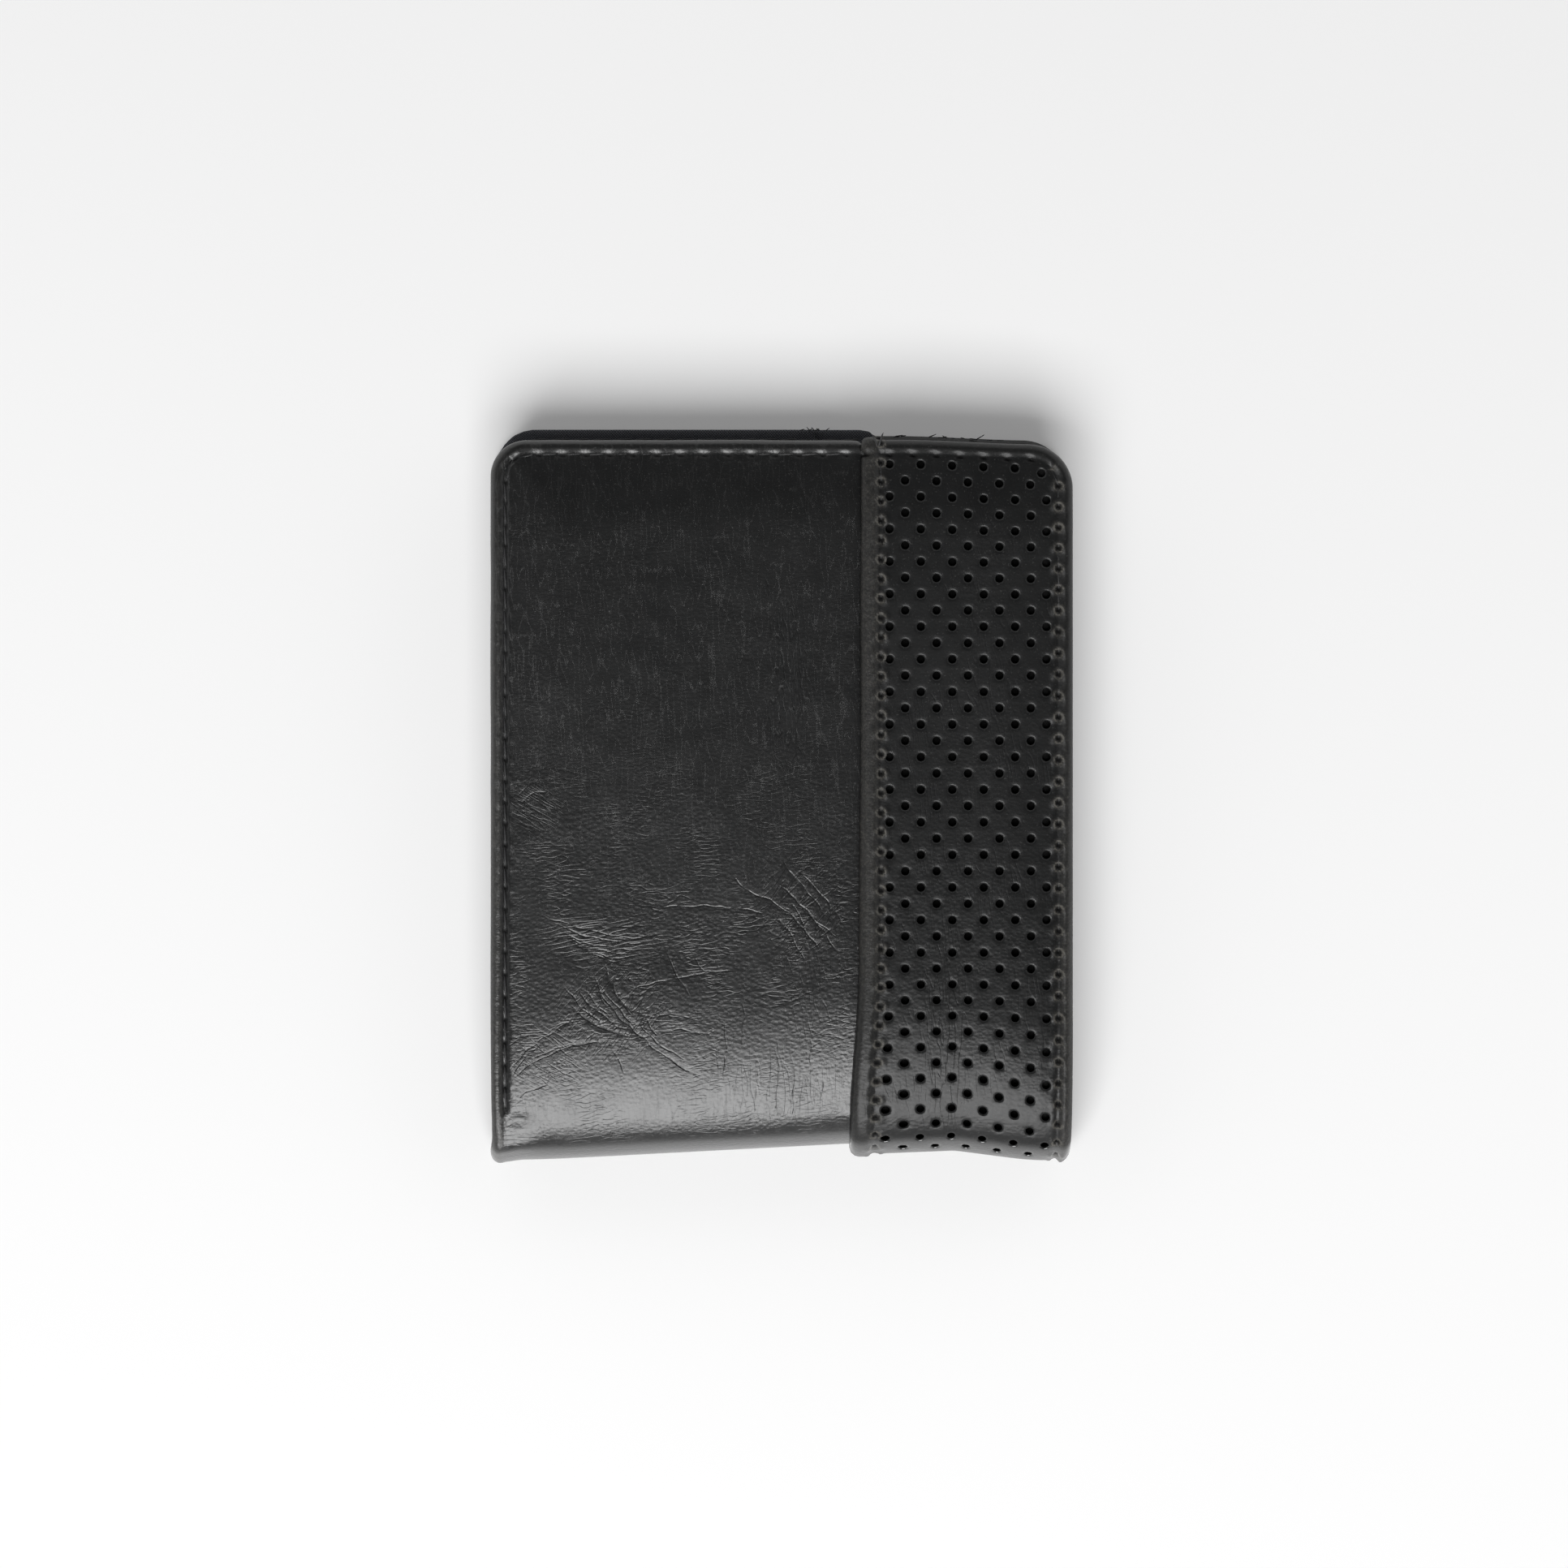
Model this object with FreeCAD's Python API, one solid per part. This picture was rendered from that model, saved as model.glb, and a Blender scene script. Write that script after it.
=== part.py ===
"""Bifold wallet, closed and lying on its back half. Millimetres, +Z up.

+X runs from the wallet's bottom edge to its note opening, and -Y points to the fold.
Every sheet that goes round the fold is made whole and then cut along the two fold lines,
because the halves and the spine between them turn as three rigid bodies.
"""
import FreeCAD
import Part

import os
from math import cos, pi, sin

V = FreeCAD.Vector

# Overall sizes
HEIGHT = 90.0           # along X
LENGTH = 113.4          # along Y when closed, from the fold to the flap's free edge
BACK_SETBACK = 0.4      # the back half ends this far short of the flap
FRONT_SETBACK = 2.1     # the front half ends this far short of the flap
BACK_BEND = 4.0         # outer radius of the lower bend at the fold, which lies on the table
FRONT_BEND = 7.5        # outer radius of the upper bend
BACK_PIVOT = 1.1        # the lower fold line lies this far inside the two faces that meet there
FRONT_PIVOT = 2.1       # and so does the upper one
CORNER_BOTTOM = 5.6     # radius of the free corners at the bottom edge
CORNER_TOP = 6.9        # radius of the free corners at the note opening

# Layers, from the outer face inwards
BAND_T = 0.7            # perforated leather band
LEATHER_T = 1.0         # main leather panel, and its turned edge
STIFFENER_T = 0.9       # board between the leather and the lining
LINING_T = 0.3          # woven nylon
NOTE_GAP = 0.5          # note compartment when empty
DIVIDER_T = 0.3         # woven nylon
INNER_T = 0.7           # leather panel that carries the card pockets
POCKET_T = 0.5          # one card pocket sheet
POCKET_GAP = 0.1        # cavity of an empty card pocket
POCKET_COUNT = 3
FLAP_CLEARANCE = 0.3    # between the ID flap and the pockets on each side

# Outer shell
BAND_WIDTH = 32.3       # from the note opening to the band's inner edge
HEM = 6.5               # width of the turned edges
HEM_BUTT = 0.5          # gap between the main panel's hem and the band's
STIFFENER_GAP = 0.3     # between the stiffener and the hems round it
STIFFENER_CLEAR = 1.0   # from the bend at the fold to the stiffener
LINING_INSET = 1.5      # from the shell's edge
FOLD_CLEAR = 7.5        # the inner panels and the bottom seam stop this far from the fold

# Perforation
HOLE_RADIUS = 0.6
HOLE_PITCH_X = 2.42
HOLE_PITCH_Y = 2.51
HOLE_INSET_X = 3.9      # first column, from the band's inner edge
HOLE_MARGIN_X = 4.0     # least distance of the last column from the note opening
HOLE_INSET_Y = 3.9      # first and last row, from the halves' free edges
HOLE_CLEAR = 0.8        # a row this near a fold line is left out

# Seams
EDGE_SEAM = 2.3         # edge seam, from the shell's edge
BAND_SEAM = 2.6         # band seam, from the band's inner edge
GROOVE_WIDTH = 0.9
GROOVE_DEPTH = 0.35
THREAD_WIDTH = 0.5
THREAD_T = 0.3          # less than the groove's depth, so the thread lies below the face
THREAD_FLOOR = 0.12     # what a needle notch leaves of the thread
EDGE_STITCH = 3.5       # stitch length
BAND_STITCH = 3.0
NEEDLE_NOTCH = 0.6
THREAD_GAP = 0.1        # between the band's edge and the thread that climbs onto it
POCKET_GROOVE = 0.2     # depth of the pocket seams' grooves
POCKET_THREAD_T = 0.25
POCKET_SEAM = 1.5       # pocket seam, from the pocket's end

# Inside
DIVIDER_SETBACK = 8.0   # top edge of the divider and the inner panels, from the note opening
INNER_INSET = 0.8       # divider and inner panels, from the shell's edge
SEAM_RIM = 6.0          # width over which the divider is pressed onto the lining
BINDING_T = 0.3
BINDING_WIDTH = 6.0
BINDING_FACE = 0.4      # thickness of the binding on the inner panel
POCKET_INSET = 1.0      # bottom edge of every card pocket, from the edge seam
FIRST_MOUTH = 10.0      # from the divider's top edge to the first pocket's mouth
MOUTH_STEP = 10.0       # from one mouth to the next
POCKET_DEPTH = 46.0     # a card goes in this far
POCKET_RIM = 2.5        # sewn width round a pocket's cavity
POCKET_FOLD_GAP = 10.0  # pockets start this far from the fold
POCKET_END_GAP = 1.7    # and stop this far from the edge seam

# ID flap
FLAP_INSET = 0.6        # from the wallet's bottom edge
FLAP_WIDTH = 59.0
FLAP_START = 1.0        # from its hinge line to the flap's own edge
FLAP_HINGE = 8.8        # hinge line, from the fold
FLAP_CORNERS = (6.0, 2.0)
FLAP_RIM = 3.0
FRAME_T = 0.8
WINDOW_T = 0.3
ID_GAP = 0.1
BACKING_T = 0.3
SLIP_GAP = 0.1
SLIP_T = 0.3
SLIP_SETBACK = 9.4      # mouth of the slip pocket, from the flap's edge
WINDOW_MARGIN = (7.5, 11.0)     # leather round the window, along X and along Y
WINDOW_FIT = 0.2        # between the window sheet and the frame's rim
FLAP_SEAM = 1.6
STRIP_T = 0.3
STRIP_INSET = 2.5       # ends of the hinge strip, from the flap's edges
ANCHOR_WIDTH = 1.7
ANCHOR_T = 0.3
HINGE_GAP = 0.15        # between the anchor strip and the hinge strip's rounded foot

# Depths below the outermost face
D_MAIN = BAND_T
D_HEM = D_MAIN + LEATHER_T
D_LINING = D_HEM + LEATHER_T
D_NOTES = D_LINING + LINING_T
D_DIVIDER = D_NOTES + NOTE_GAP
D_INNER = D_DIVIDER + DIVIDER_T
D_POCKETS = D_INNER + INNER_T
D_FACE = D_POCKETS + POCKET_COUNT * (POCKET_T + POCKET_GAP)

FLAP_T = FRAME_T + WINDOW_T + ID_GAP + BACKING_T + SLIP_GAP + SLIP_T
THICKNESS = 2 * (D_FACE + FLAP_CLEARANCE) + FLAP_T

# Places
FOLD_Y = -LENGTH / 2
RADIUS = {"back": BACK_BEND, "front": FRONT_BEND}
PIVOT = {"back": BACK_PIVOT, "front": FRONT_PIVOT}
FLAT_Y = {side: FOLD_Y + RADIUS[side] for side in RADIUS}
FLAP_END = LENGTH / 2
END = {"back": FLAP_END - BACK_SETBACK, "front": FLAP_END - FRONT_SETBACK}
BOTTOM_X = -HEIGHT / 2
TOP_X = HEIGHT / 2
BAND_EDGE_X = TOP_X - BAND_WIDTH
BAND_SEAM_X = BAND_EDGE_X + BAND_SEAM
TOP_SEAM_X = TOP_X - EDGE_SEAM
INNER_Y = FOLD_Y + FOLD_CLEAR
FRONT_FLAT = END["front"] - FLAT_Y["front"]
FRONT_ARC = FRONT_BEND * pi / 2
WALL = THICKNESS - FRONT_BEND - BACK_BEND
BACK_ARC = BACK_BEND * pi / 2
DIVIDER_TOP_X = TOP_X - DIVIDER_SETBACK
POCKET_X = BOTTOM_X + EDGE_SEAM + POCKET_INSET
POCKET_Y = {side: (FOLD_Y + POCKET_FOLD_GAP, END[side] - EDGE_SEAM - POCKET_END_GAP) for side in END}
MOUTHS = [DIVIDER_TOP_X - FIRST_MOUTH - i * MOUTH_STEP for i in range(POCKET_COUNT)]
ALL_Z = (-1, THICKNESS + 1)
FAR = 3 * LENGTH


# Shapes that everything is cut from

def slab(x, y, z, corners=(0, 0)):
    """A plate between two values on each axis, with rounded corners at its far Y end."""
    at_x0, at_x1 = corners
    (x0, x1), (y0, y1), (z0, z1) = x, y, z
    half = sin(pi / 4)
    edges = [Part.LineSegment(V(x0, y0, z0), V(x1, y0, z0)).toShape()]
    edges.append(Part.LineSegment(V(x1, y0, z0), V(x1, y1 - at_x1, z0)).toShape())
    if at_x1 > 0:
        middle = V(x1 - at_x1 * (1 - half), y1 - at_x1 * (1 - half), z0)
        edges.append(Part.Arc(V(x1, y1 - at_x1, z0), middle, V(x1 - at_x1, y1, z0)).toShape())
    edges.append(Part.LineSegment(V(x1 - at_x1, y1, z0), V(x0 + at_x0, y1, z0)).toShape())
    if at_x0 > 0:
        middle = V(x0 + at_x0 * (1 - half), y1 - at_x0 * (1 - half), z0)
        edges.append(Part.Arc(V(x0 + at_x0, y1, z0), middle, V(x0, y1 - at_x0, z0)).toShape())
    edges.append(Part.LineSegment(V(x0, y1 - at_x0, z0), V(x0, y0, z0)).toShape())
    return Part.Face(Part.Wire(edges)).extrude(V(0, 0, z1 - z0))


def outline(side, inset, z=ALL_Z):
    """The plan of one half, drawn in from its edge, as a block that runs past the fold."""
    corners = (max(CORNER_BOTTOM - inset, 0), max(CORNER_TOP - inset, 0))
    return slab((BOTTOM_X + inset, TOP_X - inset), (FOLD_Y - 1, END[side] - inset), z, corners)


def fold_block(depth, x):
    """Everything deeper than a depth below the wallet's outer face, rounded at the fold."""
    block = Part.makeBox(x[1] - x[0], FAR, THICKNESS - 2 * depth, V(x[0], FOLD_Y + depth, depth))
    for side, z in (("back", depth), ("front", THICKNESS - depth)):
        radius = RADIUS[side] - depth
        if radius <= 0:
            continue
        corner = V(0, FOLD_Y + depth, z)
        edges = [e for e in block.Edges
                 if e.BoundBox.ZLength < 1e-3 and abs(e.BoundBox.YMax - corner.y) < 1e-3
                 and abs(e.BoundBox.ZMax - corner.z) < 1e-3]
        block = block.makeFillet(radius, edges)
    return block


def sleeve(depth0, depth1, x):
    """A sheet that runs round the fold between two depths."""
    return fold_block(depth0, x).cut(fold_block(depth1, (x[0] - 1, x[1] + 1)))


def wedge(body):
    """The space that belongs to one body, bounded by sloping planes through the fold lines."""
    apex = (FOLD_Y + THICKNESS / 2, THICKNESS / 2)
    low = (FOLD_Y - 1, -1)
    high = (FOLD_Y - 1, THICKNESS + 1)
    points = {
        "back": [low, apex, (FAR, apex[1]), (FAR, -1)],
        "spine": [low, apex, high],
        "front": [high, apex, (FAR, apex[1]), (FAR, THICKNESS + 1)],
    }[body]
    ring = [V(-HEIGHT, y, z) for y, z in points]
    return Part.Face(Part.makePolygon(ring + ring[:1])).extrude(V(2 * HEIGHT, 0, 0))


def box(x, y, z=ALL_Z):
    return slab(x, y, z)


def depth_range(side, depth0, depth1):
    """Heights of a layer of one half between two depths."""
    if side == "back":
        return (depth0, depth1)
    return (THICKNESS - depth1, THICKNESS - depth0)


def on_half(side, depth0, depth1, x, y, corners=(0, 0)):
    """A flat plate of one half."""
    return slab(x, y, depth_range(side, depth0, depth1), corners)


def union(shapes):
    return shapes[0].fuse(shapes[1:]).removeSplitter()


# Outer shell

def main_plan(side):
    """The main panel's outline, which leaves room for the band to wrap round it."""
    corners = (CORNER_BOTTOM - BAND_T, CORNER_TOP - BAND_T)
    return slab((BOTTOM_X, TOP_X - BAND_T), (FOLD_Y - 1, END[side] - BAND_T), ALL_Z, corners)


def main_panel(body):
    side = "front" if body == "front" else "back"
    across = (BOTTOM_X - 1, TOP_X + 1)
    sheet = sleeve(D_MAIN, D_HEM, across)
    hem = sleeve(D_HEM, D_LINING, across)
    hem = hem.cut(box((BOTTOM_X + HEM, FAR), (FOLD_Y - 1, END[side] - HEM)))
    hem = hem.cut(box((BAND_EDGE_X - HEM_BUTT, FAR), (FOLD_Y - 1, FAR)))
    panel = union([sheet, hem]).common(wedge(body)).common(main_plan(side))
    if body == "spine":
        return panel
    groove = seam_ring(side, D_MAIN - 1, D_MAIN + GROOVE_DEPTH, GROOVE_WIDTH)
    return panel.cut(groove.common(box((-FAR, BAND_EDGE_X), (-FAR, FAR))))


def seam_ring(side, depth0, depth1, width):
    """Space of the edge seam on the flat of one half: its bottom, free and top edges."""
    z = depth_range(side, depth0, depth1)
    ring = outline(side, EDGE_SEAM - width / 2, z).cut(outline(side, EDGE_SEAM + width / 2))
    ring = ring.cut(box((-FAR, 0), (-FAR, INNER_Y)))
    return ring.common(box((-FAR, FAR), (FLAT_Y[side], FAR)))


def seam_round_fold(body, x, depth0, depth1, width):
    """Space of a straight seam of the band, round the bend that belongs to one body."""
    strip = sleeve(depth0, depth1, (x - width / 2, x + width / 2)).common(wedge(body))
    if body == "spine":
        return strip
    return strip.common(box((-FAR, FAR), (FOLD_Y - 1, FLAT_Y[body])))


def band_seams(body, depth0, depth1, width):
    """Spaces of the seam along the band's inner edge and of the edge seam, on the band."""
    if body == "spine":
        return [seam_round_fold(body, x, depth0, depth1, width) for x in (BAND_SEAM_X, TOP_SEAM_X)]
    stop = END[body] - EDGE_SEAM - GROOVE_WIDTH / 2
    across = (BAND_SEAM_X - width / 2, BAND_SEAM_X + width / 2)
    inner = union([on_half(body, depth0, depth1, across, (FLAT_Y[body], stop)),
                   seam_round_fold(body, BAND_SEAM_X, depth0, depth1, width)])
    edge = union([seam_ring(body, depth0, depth1, width),
                  seam_round_fold(body, TOP_SEAM_X, depth0, depth1, width)])
    return [inner, edge]


def band(body):
    """The band with its turned edges, which lies on the main panel and wraps round it."""
    side = "front" if body == "front" else "back"
    across = (BOTTOM_X - 1, TOP_X + 1)
    wrap = sleeve(0, D_HEM + BAND_T, across).common(box((BAND_EDGE_X, FAR), (FOLD_Y - 1, FAR)))
    core = sleeve(D_MAIN, D_HEM, across).common(main_plan(side))
    under = sleeve(D_HEM, D_HEM + BAND_T + 1, across)
    under = under.common(box((BAND_EDGE_X - 1, TOP_X - HEM), (FOLD_Y - 1, END[side] - HEM)))
    shape = wrap.common(wedge(body)).common(outline(side, 0)).cut([core, under])
    return shape.cut(perforation(body) + band_seams(body, 0, GROOVE_DEPTH, GROOVE_WIDTH))


def band_path(s):
    """Point and outward normal in YZ on the band's face, s millimetres from the front's edge."""
    if s < FRONT_FLAT:
        return END["front"] - s, THICKNESS, 0, 1
    s -= FRONT_FLAT
    if s < FRONT_ARC:
        a = s / FRONT_BEND
        y = FLAT_Y["front"] - FRONT_BEND * sin(a)
        return y, THICKNESS - FRONT_BEND + FRONT_BEND * cos(a), -sin(a), cos(a)
    s -= FRONT_ARC
    if s < WALL:
        return FOLD_Y, THICKNESS - FRONT_BEND - s, -1, 0
    s -= WALL
    if s < BACK_ARC:
        a = s / BACK_BEND
        y = FLAT_Y["back"] - BACK_BEND * cos(a)
        return y, BACK_BEND - BACK_BEND * sin(a), -cos(a), -sin(a)
    return FLAT_Y["back"] + s - BACK_ARC, 0, 0, -1


def perforation(body):
    """Cutters for the staggered holes of one body's part of the band."""
    length = FRONT_FLAT + FRONT_ARC + WALL + BACK_ARC + END["back"] - FLAT_Y["back"]
    first_fold = FRONT_FLAT + FRONT_ARC / 2
    second_fold = FRONT_FLAT + FRONT_ARC + WALL + BACK_ARC / 2
    low, high = {
        "front": (-FAR, first_fold),
        "spine": (first_fold, second_fold),
        "back": (second_fold, FAR),
    }[body]
    rows = int((length - 2 * HOLE_INSET_Y) / HOLE_PITCH_Y) + 1
    columns = int((BAND_WIDTH - HOLE_INSET_X - HOLE_MARGIN_X) / HOLE_PITCH_X) + 1
    holes = []
    for row in range(rows):
        s = HOLE_INSET_Y + row * HOLE_PITCH_Y
        if not low + HOLE_CLEAR < s < high - HOLE_CLEAR:
            continue
        y, z, ny, nz = band_path(s)
        for column in range(row % 2, columns, 2):
            x = BAND_EDGE_X + HOLE_INSET_X + column * HOLE_PITCH_X
            start = V(x, y + ny, z + nz)
            holes.append(Part.makeCylinder(HOLE_RADIUS, 2 * BAND_T + 1, start, V(0, -ny, -nz)))
    return holes


def stiffener(side):
    edge = HEM + STIFFENER_GAP
    x = (BOTTOM_X + edge, TOP_X - edge)
    y = (FLAT_Y[side] + STIFFENER_CLEAR, END[side] - edge)
    return on_half(side, D_HEM, D_HEM + STIFFENER_T, x, y)


def outer_lining(body):
    side = "front" if body == "front" else "back"
    sheet = sleeve(D_LINING, D_NOTES, (BOTTOM_X - 1, TOP_X + 1))
    return sheet.common(wedge(body)).common(outline(side, LINING_INSET))


# Note divider and the panels on it

def divider(body):
    side = "front" if body == "front" else "back"
    x = (BOTTOM_X + INNER_INSET, DIVIDER_TOP_X)
    plan = slab(x, (FOLD_Y - 1, END[side] - INNER_INSET), ALL_Z, (CORNER_BOTTOM - INNER_INSET, 0))
    sheet = sleeve(D_DIVIDER, D_INNER, (x[0] - 1, x[1] + 1)).common(wedge(body))
    if body == "spine":
        return sheet.common(plan)
    rim = on_half(side, D_NOTES, D_DIVIDER, (x[0] - 1, x[1]), (INNER_Y, END[side]))
    rim = rim.cut(box((x[0] + SEAM_RIM, FAR), (-FAR, END[side] - INNER_INSET - SEAM_RIM)))
    return union([sheet, rim]).common(plan)


def inner_panel(side):
    x = (BOTTOM_X + INNER_INSET, DIVIDER_TOP_X)
    y = (INNER_Y, END[side] - INNER_INSET)
    return on_half(side, D_INNER, D_POCKETS, x, y, (CORNER_BOTTOM - INNER_INSET, 0))


def binding(body):
    """Leather strip folded over the divider's top edge."""
    x = (DIVIDER_TOP_X - BINDING_WIDTH, DIVIDER_TOP_X + BINDING_T)
    strip = sleeve(D_DIVIDER - BINDING_T, D_INNER + BINDING_T, x).common(wedge(body))
    if body == "spine":
        return strip.cut(divider(body))
    end = END[body] - LINING_INSET
    near = strip.common(box(x, (FOLD_Y - 1, INNER_Y)))
    thick = on_half(body, D_DIVIDER - BINDING_T, D_POCKETS + BINDING_FACE, x, (INNER_Y, end))
    return union([near, thick]).cut([divider(body), inner_panel(body)])


def card_pocket(side, level):
    """One pocket sheet, closed on three sides by its rim, open towards the note opening."""
    depth = D_POCKETS + level * (POCKET_T + POCKET_GAP)
    mouth = MOUTHS[level]
    floor = max(mouth - POCKET_DEPTH, POCKET_X + POCKET_RIM)
    y = POCKET_Y[side]
    face = depth + POCKET_GAP + POCKET_T
    whole = on_half(side, depth, face, (POCKET_X, mouth), y)
    cavity = on_half(side, depth, depth + POCKET_GAP, (floor, mouth + 1),
                     (y[0] + POCKET_RIM, y[1] - POCKET_RIM))
    grooves = [pocket_seam(side, level, end, face - POCKET_GROOVE, face + 1, GROOVE_WIDTH)
               for end in (0, 1)]
    return whole.cut([cavity] + grooves)


def pocket_seam(side, level, end, depth0, depth1, width):
    """Space of the seam at one end of a pocket sheet, where the next sheet leaves it bare."""
    below = MOUTHS[level + 1] if level + 1 < POCKET_COUNT else POCKET_X
    x = (below + POCKET_SEAM, MOUTHS[level] - POCKET_SEAM)
    middle = (POCKET_Y[side][0] + POCKET_SEAM, POCKET_Y[side][1] - POCKET_SEAM)[end]
    y = (middle - width / 2, middle + width / 2)
    return on_half(side, depth0, depth1, x, y)


# Threads. Each seam's thread is one solid, with a notch where every stitch goes down.

def notches(side, along, across, reach, pitch, depth):
    """Cutters across a straight thread whose outer face lies at a depth."""
    z = depth_range(side, depth - 1, depth + THREAD_T - THREAD_FLOOR)
    cutters = []
    for i in range(1, int((reach[1] - reach[0]) / pitch)):
        middle = reach[0] + i * pitch
        here = (middle - NEEDLE_NOTCH / 2, middle + NEEDLE_NOTCH / 2)
        there = (across - THREAD_WIDTH, across + THREAD_WIDTH)
        cutters.append(slab(there, here, z) if along == "y" else slab(here, there, z))
    return cutters


def edge_stitching(side):
    """Thread of the edge seam, outside on the shell and inside on the inner panel."""
    on_band = (GROOVE_DEPTH - THREAD_T, GROOVE_DEPTH)
    on_main = (D_MAIN + on_band[0], D_MAIN + on_band[1])
    climb = (BAND_EDGE_X - THREAD_GAP - THREAD_WIDTH, BAND_EDGE_X - THREAD_GAP)
    low = seam_ring(side, *on_main, THREAD_WIDTH).common(box((-FAR, climb[1]), (-FAR, FAR)))
    high = band_seams(side, *on_band, THREAD_WIDTH)[1].common(box((climb[0], FAR), (-FAR, FAR)))
    step = seam_ring(side, on_band[0], on_main[1], THREAD_WIDTH).common(box(climb, (-FAR, FAR)))
    left_x = BOTTOM_X + EDGE_SEAM
    end_y = END[side] - EDGE_SEAM
    cutters = notches(side, "y", left_x, (INNER_Y, end_y - CORNER_BOTTOM), EDGE_STITCH, on_main[0])
    top_reach = (FLAT_Y[side], end_y - CORNER_TOP)
    cutters += notches(side, "y", TOP_SEAM_X, top_reach, EDGE_STITCH, on_band[0])
    cutters += notches(side, "x", end_y, (left_x + CORNER_BOTTOM, climb[0]), EDGE_STITCH, on_main[0])
    cutters += notches(side, "x", end_y, (climb[1], TOP_SEAM_X - CORNER_TOP), EDGE_STITCH, on_band[0])
    outside = union([low, high, step]).cut(cutters)
    inside = seam_ring(side, D_POCKETS, D_POCKETS + THREAD_T, THREAD_WIDTH)
    inside = inside.common(box((-FAR, DIVIDER_TOP_X - BINDING_WIDTH), (INNER_Y, FAR)))
    return Part.makeCompound([outside, inside])


def band_stitching(side):
    outer = GROOVE_DEPTH - THREAD_T
    thread = band_seams(side, outer, GROOVE_DEPTH, THREAD_WIDTH)[0]
    reach = (FLAT_Y[side], END[side] - EDGE_SEAM)
    return thread.cut(notches(side, "y", BAND_SEAM_X, reach, BAND_STITCH, outer))


def spine_stitching():
    """The two seams of the band as they run round the fold."""
    return Part.makeCompound(band_seams("spine", GROOVE_DEPTH - THREAD_T, GROOVE_DEPTH, THREAD_WIDTH))


def pocket_stitching(side):
    threads = []
    for level in range(POCKET_COUNT):
        groove_floor = D_POCKETS + (level + 1) * (POCKET_T + POCKET_GAP) - POCKET_GROOVE
        for end in (0, 1):
            threads.append(pocket_seam(side, level, end, groove_floor,
                                       groove_floor + POCKET_THREAD_T, THREAD_WIDTH))
    return Part.makeCompound(threads)


# ID flap, which lies between the halves and turns about a line at the back inner panel

HINGE_Y = FOLD_Y + FLAP_HINGE
HINGE_Z = D_POCKETS + ANCHOR_T + HINGE_GAP + STRIP_T / 2
FLAP_X = (BOTTOM_X + FLAP_INSET, BOTTOM_X + FLAP_INSET + FLAP_WIDTH)
FLAP_Y = (HINGE_Y + FLAP_START, FLAP_END)
FLAP_Z = D_FACE + FLAP_CLEARANCE
BACKING_Z = FLAP_Z + FRAME_T + WINDOW_T + ID_GAP
SLIP_Z = BACKING_Z + BACKING_T
SLIP_MOUTH_X = FLAP_X[1] - SLIP_SETBACK
STRIP_X = (FLAP_X[0] + STRIP_INSET, FLAP_X[1] - STRIP_INSET)


def flap_plate(z0, z1, x1=FLAP_X[1]):
    corners = (FLAP_CORNERS[0], FLAP_CORNERS[1] if x1 == FLAP_X[1] else 0)
    return slab((FLAP_X[0], x1), FLAP_Y, (z0, z1), corners)


def three_sides(z, x1):
    """Cutter that leaves a rim on all sides of the flap but the one towards the note opening."""
    return slab((FLAP_X[0] + FLAP_RIM, x1 + 1), (FLAP_Y[0] + FLAP_RIM, FLAP_Y[1] - FLAP_RIM), z)


def flap_frame():
    """Leather frame with a window, whose rim is the height of what lies behind the window."""
    seat = three_sides((FLAP_Z + FRAME_T, BACKING_Z + 1), FLAP_X[1])
    margin_x, margin_y = WINDOW_MARGIN
    opening = slab((FLAP_X[0] + margin_x, FLAP_X[1] - margin_x),
                   (FLAP_Y[0] + margin_y, FLAP_Y[1] - margin_y), ALL_Z)
    groove = flap_ring(GROOVE_WIDTH, FLAP_Z - 1, FLAP_Z + GROOVE_DEPTH)
    return flap_plate(FLAP_Z, BACKING_Z).cut([seat, opening, groove])


def flap_window():
    edge = FLAP_RIM + WINDOW_FIT
    return slab((FLAP_X[0] + edge, FLAP_X[1] - WINDOW_FIT), (FLAP_Y[0] + edge, FLAP_Y[1] - edge),
                (FLAP_Z + FRAME_T, FLAP_Z + FRAME_T + WINDOW_T))


def flap_backing():
    return flap_plate(BACKING_Z, SLIP_Z)


def flap_slip_pocket():
    ply = flap_plate(SLIP_Z, SLIP_Z + SLIP_GAP + SLIP_T, SLIP_MOUTH_X)
    return ply.cut(three_sides((SLIP_Z - 1, SLIP_Z + SLIP_GAP), SLIP_MOUTH_X))


def flap_hinge_strip():
    """Nylon strip from the backing down to the hinge line, where its end is rounded."""
    half = STRIP_T / 2
    upright = slab(STRIP_X, (HINGE_Y - half, HINGE_Y + half), (HINGE_Z, SLIP_Z))
    across = slab(STRIP_X, (HINGE_Y - half, FLAP_Y[0]), (SLIP_Z - STRIP_T, SLIP_Z))
    foot = Part.makeCylinder(half, STRIP_X[1] - STRIP_X[0], V(STRIP_X[0], HINGE_Y, HINGE_Z), V(1, 0, 0))
    return union([upright, across, foot])


def hinge_anchor():
    """Nylon strip on the back inner panel that the flap's hinge is sewn to."""
    half = ANCHOR_WIDTH / 2
    return slab(STRIP_X, (HINGE_Y - half, HINGE_Y + half), (D_POCKETS, D_POCKETS + ANCHOR_T))


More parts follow.
